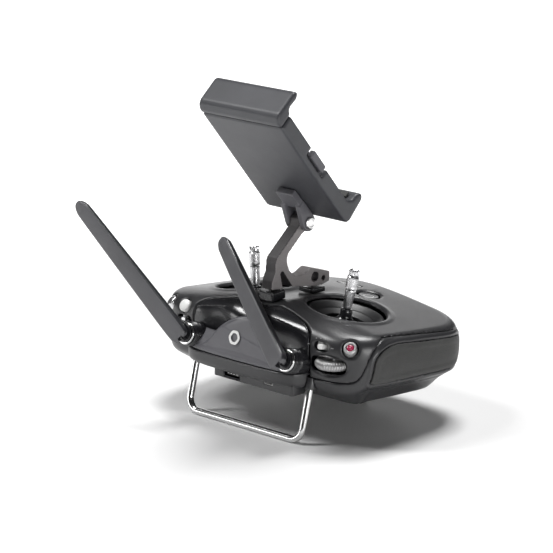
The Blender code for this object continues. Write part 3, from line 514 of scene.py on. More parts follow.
SIDE_SECTION = (  # (height fraction, inset) up the sides and the back
    (0, 58), (0, 44), (0, 29), (0.02, 23), (0.07, 19), (0.22, 12), (0.36, 3.5), (0.54, 0.5),
    (0.76, 0), (0.89, 1), (0.965, 3.5), (1, 9), (1, 18), (1, 32), (1, 46), (1, 58),
)
FRONT_SECTION = (  # the same up the front
    (0, 58), (0, 44), (0, 26), (0.03, 17), (0.10, 8), (0.17, 2.5), (0.27, 0.5), (0.45, 0),
    (0.68, 0), (0.85, 0.6), (0.945, 2.5), (0.99, 7), (1, 16), (1, 32), (1, 46), (1, 58),
)


def step(low, high, value):
    """Smooth rise from 0 at low to 1 at high."""
    t = min(1.0, max(0.0, (value - low) / (high - low)))
    return t * t * (3 - 2 * t)


def top_height(x, y):
    """Height of the top face, with its crown, brow and middle valley."""
    crown = CROWN_HEIGHT * (sqrt(1 + (x / CROWN_RADIUS) ** 2) - 1)
    brow = 9.0 * (max(0.0, 35.0 - y) / 30.0) ** 2
    valley = 2.5 * (1 - step(4, 17, abs(x))) * (1 - step(60, 90, y))
    return TOP_AT_WELLS - crown - TOP_SLOPE * (y - 55.0) - brow - valley


def belly_height(x, y):
    """Height of the underside, flatter under the grips."""
    middle = BELLY_FRONT - BELLY_SLOPE * y
    flank = FLANK_FRONT - FLANK_SLOPE * y
    reach = step(30.0, 73.0, abs(x))
    return middle + max(0.0, flank - middle) * reach


def plan_outline(inset, density=1):
    """Outline of the casing seen from above: (x, y, facing), facing 1 on the front edge and 0 behind."""
    half, front, rear = HALF_WIDTH - inset, FRONT_Y + inset, REAR_Y - inset
    smallest = min(3.0, 0.4 * (rear - front))
    r_front, r_rear = max(FRONT_RADIUS - inset, smallest), max(REAR_RADIUS - inset, smallest)
    straight, arc, side = 3 * density, 5 * density, 3 * density
    quarter = [((half - r_front) * i / straight, front, 1.0) for i in range(straight)]
    for i in range(arc):
        angle = pi / 2 * i / arc
        across, forward = r_front * sin(angle), r_front * cos(angle)
        quarter.append((half - r_front + across, front + r_front - forward, cos(angle)))
    for i in range(side):
        quarter.append((half, front + r_front + (rear - r_rear - front - r_front) * i / side, 0.0))
    for i in range(arc):
        angle = pi / 2 * i / arc
        quarter.append((half - r_rear + r_rear * cos(angle), rear - r_rear + r_rear * sin(angle), 0.0))
    for i in range(straight + 1):
        quarter.append(((half - r_rear) * (1 - i / straight), rear, 0.0))
    swept = []
    for x, y, facing in quarter:
        sweep = 3.0 * facing * min(1.0, x / 62.0) ** 2
        waist = 1.0 - 0.016 * ((y - 78.0) / 45.0) ** 2
        swept.append((x * waist, y + sweep, facing))
    return swept + [(-x, y, f) for x, y, f in reversed(swept[1:-1])]


def casing(name, shrink, density=5, finer=3):
    """Closed skin of the casing, shrunk inwards by a wall thickness."""
    rings = []
    base = plan_outline(0, density)
    blends = [step(0.2, 0.9, facing) for _, _, facing in base]
    sections = zip(curve_through(SIDE_SECTION, finer), curve_through(FRONT_SECTION, finer))
    for side, front in sections:
        ring = []
        side_ring = plan_outline(max(0.0, side[1]) + shrink, density)
        front_ring = plan_outline(max(0.0, front[1]) + shrink, density)
        for (xs, ys, _), (xf, yf, _), blend in zip(side_ring, front_ring, blends):
            x, y = xs + (xf - xs) * blend, ys + (yf - ys) * blend
            fraction = min(1.0, max(0.0, side[0] + (front[0] - side[0]) * blend))
            low, high = belly_height(x, y) + shrink, top_height(x, y) - shrink
            ring.append((x, y, low + (high - low) * fraction))
        rings.append(ring)
    return loft(name, rings, ladder=True)


def hollow_casing(name):
    """The casing's skin with its hollow taken out."""
    skin = casing(name, 0.0)
    cut(skin, casing("hollow", WALL, 2, 1))
    return skin


SEAM_MIDDLE = ((-60, 48), (30, 48), (48, 70.7), (160, 58.4))
SEAM_SIDE = (
    (-60, 44.5), (10, 44.5), (13.5, 44.8), (16.5, 46.2), (18.6, 49.5), (20.2, 54), (22.0, 59.5),
    (24.5, 64.5), (28, 68.6), (32, 70.8), (36, 71.6), (42, 71.0), (66, 67.9), (104, 62.5),
    (125, 59.7), (160, 55.2),
)


def upper_zone(drop):
    """Everything above the side seam, which runs lower in the shoulders than in the middle."""
    zone = None
    for sign in (0, 1, -1):
        seam = SEAM_SIDE if sign else SEAM_MIDDLE
        outline = [(y, z - drop) for y, z in seam] + [(160, 140), (-60, 140)]
        half = 60.0 if sign else COVER_HALF_WIDTH
        piece = side_prism("zone", outline, half, sign * (COVER_HALF_WIDTH + 59.5 - drop))
        if zone is None:
            zone = piece
        else:
            combine(zone, piece, "UNION")
    return zone


def cover_outline(grow):
    """Plan of the front cover, grown outwards; open towards the front."""
    half = COVER_HALF_WIDTH + grow
    edge = curve_through([(half, 6), (half - 1.6, 8.9), (half - 4.5, 10.9), (half - 12, 14),
                          (20, 18), (0, 18.6)], 4)
    right = [(x, y + grow) for x, y in edge]
    left = [(-x, y) for x, y in reversed(right[:-1])]
    return [(half, -60)] + right + left + [(-half, -60)]


def well_axis(side):
    return Axis((side * 41.0, 55.0, 78.3), (side * 0.151, 0.11, 1.0))


def front_inset(x, z):
    low = belly_height(0, 10)
    fraction = (z - low) / (top_height(x, 10) - low)
    for (f0, inset0), (f1, inset1) in zip(FRONT_SECTION, FRONT_SECTION[1:]):
        if f0 <= fraction <= f1 and f1 > f0:
            return inset0 + (inset1 - inset0) * (fraction - f0) / (f1 - f0)
    return 0.0


def shoulder_axis(side, x, z, sink=0.0):
    """Frame on the shoulder's front face: w points out of it, u along it, v up it."""
    outline = plan_outline(front_inset(x, z), 6)
    for (xa, ya, _), (xb, yb, _) in zip(outline, outline[1:]):
        if xa <= x <= xb:
            break
    y = ya + (yb - ya) * (x - xa) / (xb - xa)
    flat = Vector((side * (yb - ya), xa - xb, 0.0)).normalized()
    lean = (front_inset(x, z + 2) - front_inset(x, z - 2)) / 4
    normal = (flat + Vector((0, 0, lean))).normalized()
    origin = Vector((side * x, y, z)) - normal * sink
    return Axis(origin, normal, u_hint=(-side * flat.y, side * flat.x, 0))


def deck_axis(x, y):
    """Frame on the top face: w points out of it."""
    d = 0.5
    slope_x = (top_height(x + d, y) - top_height(x - d, y)) / (2 * d)
    slope_y = (top_height(x, y + d) - top_height(x, y - d)) / (2 * d)
    return Axis((x, y, top_height(x, y)), (-slope_x, -slope_y, 1))


def belly_axis(x, y):
    return Axis((x, y, belly_height(x, y)), (0, -BELLY_SLOPE, -1))


def bore(axis, radius, low=-6.0, high=6.0, segments=40):
    turns = [2 * pi * i / segments for i in range(segments)]
    ring = [(cos(turn) * radius, sin(turn) * radius) for turn in turns]
    return prism("bore", ring, axis.at, low, high)


def near_curve(y, z, curve):
    """Distance from a point of the side view to a row of points, positive above it."""
    best, sign = 1e9, 1.0
    for (ya, za), (yb, zb) in zip(curve, curve[1:]):
        dy, dz = yb - ya, zb - za
        t = min(1.0, max(0.0, ((y - ya) * dy + (z - za) * dz) / (dy * dy + dz * dz)))
        gap_y, gap_z = y - ya - t * dy, z - za - t * dz
        reach = hypot(gap_y, gap_z)
        if reach < best:
            best = reach
            sign = 1.0 if dy * gap_z - dz * gap_y > 0 else -1.0
    return best * sign


def groove(distance, width, depth):
    """Depth of a soft groove at a distance from its middle line."""
    t = distance / width
    return depth * max(0.0, 1 - t * t) ** 2 if abs(t) < 1 else 0.0


# ---------------------------------------------------------------- shells

DIAL = (66.0, 54.6)
RECORD = (79.5, 67.2)
SWITCH = (60.8, 66.4)
PLAYBACK = (62.0, 69.6)
MODE = (61.0, 60.8)
DIAL_RADIUS, DIAL_SINK = 12.5, 8.8
SHOULDER_DIALS = [shoulder_axis(side, *DIAL) for side in (1, -1)]
SHOULDER_SWITCHES = [shoulder_axis(1, *SWITCH), shoulder_axis(-1, *MODE)]
SHOULDER_BUTTONS = [shoulder_axis(side, *RECORD) for side in (1, -1)] + [shoulder_axis(-1, *PLAYBACK)]
DECK_BUTTONS = [deck_axis(25, 95), deck_axis(-25, 95)]
WELLS = [well_axis(side) for side in (1, -1)]


def top_dents(point, normal):
    """Soft recesses and lips of the upper shell."""
    push = 0.0
    for axis in SHOULDER_DIALS:
        a, b, h = axis.local(point)
        if abs(a) < 22 and abs(b) < 14 and -4 < h < 4:
            reach = hypot(a / 16.5, (b - 0.4) / 8.2)
            push -= 2.3 * (1 - step(0.55, 1.0, reach))
    for axis, long_by in zip(SHOULDER_SWITCHES, (8.2, 8.6)):
        a, b, h = axis.local(point)
        if abs(a) < 12 and abs(b) < 8 and -3 < h < 3:
            push -= 0.7 * (1 - step(0.6, 1.0, hypot(a / long_by, b / 4.4)))
    for axis in SHOULDER_BUTTONS:
        a, b, h = axis.local(point)
        if -3 < h < 3:
            push -= 0.6 * (1 - step(5.0, 7.2, hypot(a, b)))
    for axis in DECK_BUTTONS:
        a, b, h = axis.local(point)
        if -3 < h < 3:
            push -= 1.1 * (1 - step(7.2, 10.5, hypot(a, b)))
    for axis in WELLS:
        a, b, h = axis.local(point)
        reach = hypot(a, b)
        if -3 < h < 6:
            rise = step(WELL_RADIUS + 1, WELL_RADIUS + 3.4, reach)
            push += 0.55 * (rise - step(WELL_RADIUS + 3.4, WELL_RADIUS + 7.5, reach))
    return normal * push if push else None


GRIP = (  # outline of a grip pad from the side: (y, z)
    (24, 44), (25.2, 55), (26.6, 60.3), (30.5, 64.2), (37, 66.2), (46, 66.4), (66, 63.9), (84, 61.5),
    (104, 58.8), (112, 57.4), (116.6, 54.8), (118, 50), (117.3, 43.5), (115.6, 39.4), (111, 37.6),
    (84, 38.9), (60, 40.6), (32, 42.2), (26, 42.6),
)
GRIP_LOOP = GRIP + (GRIP[0],)
GRIP_MIDDLE = (72.0, 53.0)
TIER = ((10, 35.5), (28, 36.2), (60, 34.5), (95, 32.6), (130, 33.4))


def outside(point):
    """Whether a point lies on the outer skin of the side walls, not inside the casing."""
    return hypot(point.x / 93.0, (point.y - 66.0) / 60.0) > 0.93


def lower_bands(point, normal):
    """Bead round each grip pad, and the tier line along the grips' lower edge."""
    if not outside(point) or abs(point.x) < 50.0:
        return None
    push = groove(near_curve(point.y, point.z, GRIP_LOOP) - 1.9, 1.8, 0.5)
    tier = near_curve(point.y, point.z, TIER)
    push -= groove(tier, 1.4, 0.7) * step(20.0, 27.0, point.y)
    return normal * push if push else None


def top_shell():
    """Upper shell with its wells, slots and button holes."""
    shell = hollow_casing("top_shell_fine")
    combine(shell, upper_zone(0.0), "INTERSECT")
    cut(shell, prism("cover_space", cover_outline(GAP), upright, -20, 150))
    r = WELL_RADIUS
    flare = [(0, -30), (r + 0.4, -30), (r + 0.4, -3), (r + 0.8, -1.6), (r + 2.2, -0.2), (r + 4, 1.2),
             (r + 4, 12), (0, 12)]
    for axis in WELLS:
        cut(shell, turned("well_space", axis, flare, 72))
    for axis in SHOULDER_DIALS:
        cut(shell, block("slot", axis, 12.2, 3.9, -12, 8, 2.6))
    for axis, radius in zip(SHOULDER_BUTTONS, (4.8, 4.8, 4.5)):
        cut(shell, bore(axis, radius, -8))
    cut(shell, block("slot", SHOULDER_SWITCHES[0], 5.4, 2.3, -6, 6, 2.2))
    cut(shell, block("slot", SHOULDER_SWITCHES[1], 6.4, 1.6, -6, 6, 1.5))
    for axis in DECK_BUTTONS:
        cut(shell, bore(axis, 7.25))
    cut(shell, block("slot", deck_axis(0, 104), 10.4, 2.0, -6, 6, 1.9))
    soften(shell, 0.7, 6)
    reshape(shell, top_dents)
    thin(shell, 0.35)
    return publish(shell, "top_shell")


def grip_band(side, grow):
    """Block through the casing's side with the grip pad's outline."""
    middle_y, middle_z = GRIP_MIDDLE
    outline = []
    for y, z in curve_through(GRIP_LOOP, 3)[:-1]:
        factor = 1 + grow / hypot(y - middle_y, z - middle_z)
        outline.append((middle_y + (y - middle_y) * factor, middle_z + (z - middle_z) * factor))
    return side_prism("grip_band", outline, 30, side * 98)


def bowed(name, levels):
    """Solid behind the bowed front edge, through (height, inset) levels."""
    half = COVER_HALF_WIDTH - 0.6
    bow = curve_through([(half, 5.5), (49.5, 0.5), (46, -4.0), (36, -7.2), (20, -8.5), (0, -8.9)], 4)
    left = [(-x, y) for x, y in reversed(bow[:-1])]
    return loft(name, [[(x, y + inset, z) for x, y in bow + left] for z, inset in levels])


def bottom_shell():
    """Lower shell with the chin, port space, leg bores and grip recesses."""
    shell = hollow_casing("bottom_shell_fine")
    cut(shell, upper_zone(GAP))
    chin = ((36.6, 9.0), (37.0, 5.6), (37.8, 3.0), (39.2, 1.1), (41.4, 0.3), (COVER_BOTTOM_Z - GAP, 0.0))
    combine(shell, bowed("chin", chin), "UNION")
    cut(shell, block("port_space", Axis((10.5, 4, 36), (0, 0, 1)), 35.9, 7.0, -12, 3.6, 1.2))
    cut(shell, block("charge_space", Axis((0, REAR_Y - 1.5, 30), (0, 1, 0)), 7.3, 4.3, -8, 8, 1.2))
    for side in (1, -1):
        cut(shell, bore(leg_axis(side), 4.7, -14, 6))
        recess = grip_band(side, 0.0)
        cut(recess, casing("floor", 1.3, 3, 1))
        cut(shell, recess)
        cut(shell, bore(belly_axis(side * 28, 83), 4.8))
    cut(shell, block("foot_space", Axis((0, 94.0, 0), (0, 0, 1)), 23.5, 4.4, 2.0, 30, 2.0))
    soften(shell, 0.75, 8)
    reshape(shell, lower_bands)
    thin(shell, 0.3)
    return publish(shell, "bottom_shell")


def grip_pad(word, side):
    """Rubber pad with a rounded, slightly raised border round a sunken field."""
    pad = casing("pad", -0.35, 5, 3)
    combine(pad, grip_band(side, -0.5), "INTERSECT")
    cut(pad, casing("core", 0.95, 3, 1))
    pad.name = f"{word}_grip_pad_fine"
    soften(pad, 0.6, 6)

    def border(point, normal):
        if abs(normal.x) < 0.3 and abs(normal.y) < 0.3:
            return None
        edge = near_curve(point.y, point.z, GRIP_LOOP)
        return normal * (-0.55 * step(2.4, 5.4, abs(edge)))

    reshape(pad, border)
    thin(pad, 0.5)
    return publish(pad, f"{word}_grip_pad")


# ---------------------------------------------------------------- front


PANEL_Y, PANEL_Z = -4.5, 64.6


def panel_lift(a, b, h):
    """a across, b up the tilted face, h out of it."""
    y = PANEL_Y + b * sin(FACE_TILT) - h * cos(FACE_TILT)
    z = PANEL_Z + b * cos(FACE_TILT) + h * sin(FACE_TILT)
    return (a, y, z)


def pockets(point, normal):
    """Hollows of the gloss cover on either side of the hill."""
    if normal.y > 0.2 or point.y > 8:
        return None
    push = 0.0
    for side in (1, -1):
        across = (point.x - side * 33) / 13.0
        up = (point.z - 66.5) / 9.0
        push -= 2.0 * exp(-(across * across + up * up))
    return Vector((0, -push, 0)) if push < -0.02 else None


def front_cover():
    """Gloss cover between the shoulders, with its two pockets."""
    cover = hollow_casing("front_cover_fine")
    outline = cover_outline(-GAP)
    combine(cover, prism("zone", outline, upright, COVER_BOTTOM_Z, 150), "INTERSECT")
    soften(cover, 0.6, 6)
    reshape(cover, pockets)
    thin(cover, 0.6)
    return publish(cover, "front_cover")


HILL = (  # right half of the panel's outline on the tilted face, foot first
    (36.5, -16.9), (36.3, -15.2), (33, -12.6), (28, -10.2), (24.5, -6), (20.5, -1), (15, 4.6), (9.5, 8.8),
    (4.5, 11.2), (0, 12.2),
)
PANEL_SKIRT = (  # (height, inset) of the panel's foot
    (COVER_BOTTOM_Z - 1, 0.35), (49, 0.35), (51, 1.0), (53, 2.4), (55, 4.6), (57.5, 8.0), (60, 11.0),
)


def panel_sag(a, b):
    """How far the panel's face falls away from a flat plane."""
    return 1.0 * (a / 30) ** 2 + 0.04 * max(0.0, b - 1.0) ** 2


def logo_panel():
    """Raised matte hill whose foot runs out to both hinges, down to the seam with the chin."""
    hill = curve_through(HILL, 4)
    outline = [(x, b) for x, b in hill] + [(-x, b) for x, b in reversed(hill[:-1])]
    rings = []
    for h, grow in ((-13.0, 2.6), (-1.6, 0.8), (-0.7, 0.3), (-0.2, -0.2), (0.0, -0.9)):
        ring = []
        for a, b in outline:
            reach = hypot(a, b + 16)
            factor = (reach + grow) / reach
            height = h - panel_sag(a, b) - 1.1 * step(27, 37, abs(a))
            low = max((b + 16) * factor - 16, -16.9)
            ring.append(panel_lift(a * factor, low, height))
        rings.append(ring)
    panel = loft("logo_panel_fine", rings)
    combine(panel, bowed("skirt", PANEL_SKIRT), "UNION")
    cut(panel, casing("seat", -0.1, 3, 1))
    for side in (1, -1):
        cut(panel, bore(hinge_axis(side), 8.7, -20, 12))
    bottom = COVER_BOTTOM_Z + 0.15
    above = [(-40, bottom), (20, bottom), (20, 120), (-40, 120)]
    combine(panel, side_prism("above", above, 60), "INTERSECT")
    soften(panel, 0.5, 5, 0.6)
    return publish(panel, "logo_panel")


EMBLEM = (-3.0, -2.5)
EMBLEM_OUTER, EMBLEM_INNER, EMBLEM_THICKNESS = 5.0, 3.1, 0.16


def emblem():
    """Plain white ring badge on the panel."""
    rings = []
    section = ((EMBLEM_OUTER, 0.0), (EMBLEM_OUTER, EMBLEM_THICKNESS),
               (EMBLEM_INNER, EMBLEM_THICKNESS), (EMBLEM_INNER, 0.0))
    for outer, h in section:
        ring = []
        for i in range(24):
            angle = 2 * pi * (i + 0.5) / 24
            hexagon = cos(pi / 6) / cos((angle % (pi / 3)) - pi / 6)
            reach = outer * (0.35 + 0.65 * hexagon)
            a, b = EMBLEM[0] + reach * cos(angle), EMBLEM[1] + reach * sin(angle)
            ring.append(panel_lift(a, b, h - 0.02 - panel_sag(a, b)))
        rings.append(ring)
    verts, faces = grid(rings, closed=True)
    badge = new_object("panel_badge", verts, faces)
    return attach(badge, "body", WHITE)


# ---------------------------------------------------------------- antennas

HINGE = (44.7, -6.9, 57.1)
FOLD_OFFSET = 9.0
SWING = {"left": (-1, radians(-51.5), radians(13.0)), "right": (1, radians(-54.6), radians(-13.5))}


def hinge_axis(side):
    return Axis((side * HINGE[0], HINGE[1], HINGE[2]), (0, -cos(FACE_TILT), sin(FACE_TILT)))


PADDLE = (  # (distance along, half width, half thickness) from root to tip
    (-5.2, 4.0, 1.4), (-4.6, 5.2, 1.9), (-2.5, 6.3, 2.6), (2, 6.7, 2.9), (12, 6.75, 3.0), (30, 6.5, 2.9),
    (70, 5.85, 2.7), (104, 5.2, 2.5), (109, 4.75, 2.3), (112.2, 3.7, 2.0), (114.2, 2.2, 1.4),
    (115, 0.6, 0.5),
)


def antenna_parts(word):
    """Boss, ring, hinge with its tongue, and the paddle folded over it."""
    side, swing, fold = SWING[word]
    axis = hinge_axis(side)
    up, out = Vector((0, sin(FACE_TILT), cos(FACE_TILT))), axis.w
    flat = Vector((1, 0, 0)) * sin(swing) + up * cos(swing)
    along = flat * cos(fold) + out * sin(fold)
    face = out * cos(fold) - flat * sin(fold)
    across = along.cross(face)
    start = axis.at(0, 0, FOLD_OFFSET)

    ribs = [(5.6, -16), (8.3, -16), (8.3, -6.3)]
    for h in (-5.6, -4.1, -2.6):
        ribs += [(7.5, h), (7.5, h + 0.45), (8.2, h + 0.65), (8.2, h + 1.2)]
    ribs += [(7.4, -0.9), (7.4, -0.4), (5.6, -0.4)]
    mount = turned(f"{word}_antenna_mount_fine", axis, fillet(ribs, 0.18, 2), 64)
    cut(mount, casing("wall", -0.2, 3, 1))
    floor_box = [(-30, 20), (30, 20), (30, COVER_BOTTOM_Z + 0.1), (-30, COVER_BOTTOM_Z + 0.1)]
    cut(mount, side_prism("floor", floor_box, 12, side * HINGE[0]))
    crease(mount.data, 38)
    publish(mount, f"{word}_antenna_mount")

    ring = [(5.7, 0.0), (7.1, 0.0), (7.5, 0.45), (7.55, 1.0), (7.3, 1.6), (6.9, 1.9), (5.7, 1.9)]
    turned_node(f"{word}_antenna_ring", axis, fillet(ring, 0.25), 64)

    tongue_axis = Axis(axis.at(0, 0, FOLD_OFFSET), axis.w.cross(flat), u_hint=axis.w)
    reach = FOLD_OFFSET - 2.6
    outline = [(-reach, 3.4), (-reach + 1.2, 2.5), (-reach + 2.4, 2.0)]
    outline += [(2.0 * cos(t), 2.0 * sin(t)) for t in (pi / 2 - pi * i / 12 for i in range(13))]
    outline += [(-reach + 2.4, -2.0), (-reach + 1.2, -2.5), (-reach, -3.4)]
    base = [(0, -9.5), (4.9, -9.5), (4.9, 2.2), (6.3, 2.4), (6.3, 3.0), (3.9, 3.4), (0, 3.4)]
    swivel = turned(f"{word}_antenna_hinge_fine", axis, fillet(base, 0.25), 48)
    combine(swivel, prism("tongue", outline, tongue_axis.at, -1.6, 1.6), "UNION")
    crease(swivel.data, 38)
    publish(swivel, f"{word}_antenna_hinge")

    rings = []
    for s, half_width, half_depth in curve_through(PADDLE, 4):
        outline = rounded_rectangle(half_width, half_depth, min(half_depth, half_width) * 0.62, 6)
        rings.append([start + along * s + across * a + face * b for a, b in outline])
    paddle = loft(f"{word}_antenna_fine", rings)
    slot = Axis(start - along * 4.9, across, u_hint=along)
    sign = 1 if slot.v.dot(face) > 0 else -1
    low, high = sorted((-6.0 * sign, 2.15 * sign))
    fork = [(-8, low), (7.6, low), (7.6, high), (-8, high)]
    cut(paddle, prism("fork", fork, slot.at, -2.0, 2.0))
    crease(paddle.data, 40)
    publish(paddle, f"{word}_antenna", finish=ANTENNA)
    # Painted shade: faces along the paddle's sides and tip, away from its broad face, take the dark copy.
    paddle.data.materials.append(ANTENNA_PAINTED_SHADE)
    for polygon in paddle.data.polygons:
        middle = polygon.center / MM - start
        if abs(polygon.normal.dot(face)) < 0.75 and middle.dot(along) > -4.5:
            polygon.material_index = 1


# ---------------------------------------------------------------- handle


LEG_X = 50.7
LEG_RISE = (0, 9.5, 36.6)
ROD_RADIUS, ROD_CORNER = 2.4, 9.0


def leg_axis(side):
    return Axis((side * LEG_X, 9.5, 39.0), LEG_RISE)


def handle():
    """Rod bent to a U, and the two collars that its legs plug into."""
    radius, corner = ROD_RADIUS, ROD_CORNER
    direction = Vector(LEG_RISE).normalized()
    run = LEG_RISE[2] / direction.z
    foot = Vector((-LEG_X, 0, radius))
    path = [foot + direction * (run - (run - corner) * t) for t in (0.0, 0.25, 0.5, 0.75)]
    for i in range(17):
        angle = pi / 2 * i / 16
        inward = Vector((corner * (1 - cos(angle)), 0, 0))
        path.append(foot + inward + direction * (corner * (1 - sin(angle))))
    path += [Vector((x, 0, radius)) for x in (-28, -14, 0)]
    path += [Vector((-p.x, p.y, p.z)) for p in reversed(path[:-1])]
    normal = Vector((1, 0, 0)).cross(direction).normalized()
    rings = []
    for i, point in enumerate(path):
        tangent = (path[min(len(path) - 1, i + 1)] - path[max(0, i - 1)]).normalized()
        across = tangent.cross(normal)
        rings.append([point + across * (cos(t) * radius) + normal * (sin(t) * radius)
                      for t in (2 * pi * k / 28 for k in range(28))])
    rod = loft("handle_fine", rings)
    crease(rod.data, 60)
    publish(rod, "handle")
    for word, side in (("left", -1), ("right", 1)):
        outer, inner = 4.6 - GAP, 2.9
        profile = [(inner, -3.5), (outer, -3.5), (outer, 4.4), (0.5, 4.4), (0.5, 1.0), (inner, 1.0)]
        turned_node(f"{word}_handle_collar", leg_axis(side), fillet(profile, 0.5), 40)


# ---------------------------------------------------------------- sticks


def knurl(count, pitch, depth, low, high):
    """Diamond knurl between two heights."""
    def shape(angle, r, h):
        if not low < h < high or r < 2.6:
            return r
        one = abs(((angle * count / (2 * pi) + h / pitch) % 1.0) - 0.5)
        two = abs(((angle * count / (2 * pi) - h / pitch) % 1.0) - 0.5)
        fade = step(low, low + 0.5, h) * (1 - step(high - 0.5, high, h))
        return r - depth * fade * (1 - min(1.0, (one + two) * 1.3))
    return shape


def spread(profile, spacing):
    """The profile with its long straight parts split."""
    result = []
    for (r0, h0), (r1, h1) in zip(profile, profile[1:] + profile[:1]):
        steps = max(1, int(hypot(r1 - r0, h1 - h0) / spacing))
        result += [(r0 + (r1 - r0) * i / steps, h0 + (h1 - h0) * i / steps) for i in range(steps)]
    return result


CROWN_TEETH = 8


def stick(word, side):
    """Dished cup, shaft with its ball and dome, conical sleeve and knurled head."""
    axis = well_axis(side)
    r = WELL_RADIUS
    cup = [(r, -3.9), (r - 0.6, -3.4), (r - 2.2, -3.7), (19.6, -6.3), (18.9, -7.0), (14.8, -8.4),
           (13.4, -8.9), (13.4, -25), (0.8, -25), (0.8, -27), (15.5, -27), (15.5, -12.5), (r, -7.6)]
    # The cup here and the yoke below take the dish plastic, darkened as painted shade in the well.
    turned_node(f"{word}_gimbal_housing", axis, fillet(cup, 0.5), 96, DISH_AND_WELL_SHADE)
    post = [(0, -20.0), (5.4, -18.5), (7.9, -15), (8.3, -13), (7.6, -10.2), (5.6, -7.6), (4.5, -6.2),
            (4.1, -4.8), (4.1, -2.2), (3.7, -0.8), (1.7, -0.5), (1.7, 15.0), (0, 15.0)]
    turned_node(f"{word}_stick_shaft", axis, fillet(post, 0.3), 48)
    cone = spread([(2.05, -0.2), (2.7, -0.2), (2.95, 0.5), (3.1, 3.0), (3.55, 12.0), (3.2, 12.8),
                   (2.05, 12.8)], 0.45)
    grip = knurl(22, 2.2, 0.16, 1.6, 11.6)
    turned_node(f"{word}_stick_sleeve", axis, cone, 88, shape=grip)
    head = spread([(2.05, 13.2), (3.3, 13.2), (3.9, 13.8), (3.9, 21.4), (3.45, 22.0), (3.3, 22.4),
                   (3.5, 22.9), (3.5, 25.3), (3.0, 26.0), (1.4, 25.2), (0.4, 25.0), (0.4, 16.6),
                   (2.05, 16.0)], 0.4)
    teeth = knurl(26, 2.0, 0.3, 14.0, 21.2)

    def crown(angle, radius, h):
        if h > 23.2 and radius > 1.5:
            notch = max(0.0, cos(CROWN_TEETH * angle)) ** 2
            return radius * (1 - 0.13 * notch * step(23.2, 24.0, h))
        return teeth(angle, radius, h)

    turned_node(f"{word}_stick_knob", axis, head, 104, shape=crown)
    nodes[f"{word}_gimbal_yoke"].data.materials[0] = DISH_AND_WELL_SHADE


# ---------------------------------------------------------------- controls


DIAL_RIDGES = 40


def dial(node, side):
    """Barrel-shaped wheel with ridges round it, on an upright axle."""
    out = shoulder_axis(side, *DIAL, DIAL_SINK)
    rim = curve_through([(9.6, -3.1), (11.0, -2.6), (11.9, -1.6), (12.4, -0.5), (12.4, 0.5),
                         (11.9, 1.6), (11.0, 2.6), (9.6, 3.1)], 3)
    profile = [(2.3, -3.1), (6.0, -3.1)] + rim + [(6.0, 3.1), (2.3, 3.1)]

    def ridges(angle, r, h):
        return r - 0.5 * (0.5 - 0.5 * cos(DIAL_RIDGES * angle)) ** 3 * step(9.8, 11.4, r)

    turned_node(node, Axis(out.o, (0, 0, 1)), profile, 8 * DIAL_RIDGES, GREY_METAL, ridges)


def button(node, axis, radius, proud, depth, crown, finish=None):
    """Round button with a flange at its foot; crown is how far its face bulges."""
    flange = radius + 0.4
    profile = [(0, -depth), (flange, -depth), (flange, -depth + 0.6), (radius, -depth + 0.8),
               (radius, proud - 0.6), (radius - 0.5, proud), (radius * 0.5, proud + crown * 0.8),
               (0, proud + crown)]
    turned_node(node, axis, fillet(profile, 0.3), 56, finish)


SWITCH_MARKS = (  # short ticks round the right switch: (a, b, half length, half width)
    (-4.6, 4.6, 0.45, 0.16), (-1.4, 5.0, 0.45, 0.16), (1.8, 5.0, 0.45, 0.16), (5.0, 4.6, 0.45, 0.16),
    (-9.6, 0.2, 0.7, 0.14), (8.6, 0.2, 0.9, 0.14),
)


def controls():
    """Wheels, buttons and switches."""
    dial("gimbal_dial", 1)
    dial("camera_dial", -1)
    axis = shoulder_axis(1, *RECORD)
    ring = [(2.6, 0.2), (2.6, 1.5), (2.9, 1.9), (3.6, 1.9), (4.25, 1.3), (4.35, 0.6), (4.35, -6.4),
            (5.1, -6.5), (5.1, -7.1), (0.4, -7.1), (0.4, 0.2)]
    turned_node("record_button", axis, fillet(ring, 0.2), 64, GREY_METAL)
    lens = [(0, 0.55), (2.25, 0.55), (2.25, 1.3), (1.9, 1.55), (1.5, 1.6), (1.35, 1.45), (1.15, 1.45),
            (1.0, 1.65), (0.5, 1.8), (0, 1.85)]
    turned_node("record_lens", axis, lens, 48)
    button("shutter_button", shoulder_axis(-1, *RECORD), 4.4, 1.9, 7.1, 0.8)
    button("playback_button", shoulder_axis(-1, *PLAYBACK), 4.2, 0.9, 5.7, 0.5, WHITE)
    for node, axis in zip(("rth_button", "power_button"), DECK_BUTTONS):
        button(node, axis, 6.9, -0.9, 5.4, -0.5, BUTTON)
        mark = [(3.1, -1.42), (3.5, -1.42), (3.5, -1.28), (3.1, -1.28)]
        attach(turned(f"{node}_ring_mark", axis, mark, 48), node, WHITE)
    for node in ("c1_button", "c2_button"):
        refine(node, 0.35, 3, 0.6)
    refine("transformation_switch", 0.22, 4, 0.5, WHITE)
    refine("mode_switch", 0.22, 4, 0.5)
    axis = SHOULDER_SWITCHES[0]
    for index, (a, b, half_a, half_b) in enumerate(SWITCH_MARKS):
        base = shoulder_point(axis, a, b)
        mark = block(f"switch_mark_{index}", base, half_a, half_b, -0.12, 0.06, 0.1)
        attach(mark, "body", TICK)


def shoulder_point(axis, a, b):
    """Frame on the shoulder's skin beside an axis."""
    point = axis.at(a, b, 0)
    return shoulder_axis(1 if point.x > 0 else -1, abs(point.x), point.z)


# ---------------------------------------------------------------- ports, seats, phone holder


USB_A_X, USB_A_Z = -8.4, 35.0
RELEASE_SLIMMING = 0.22


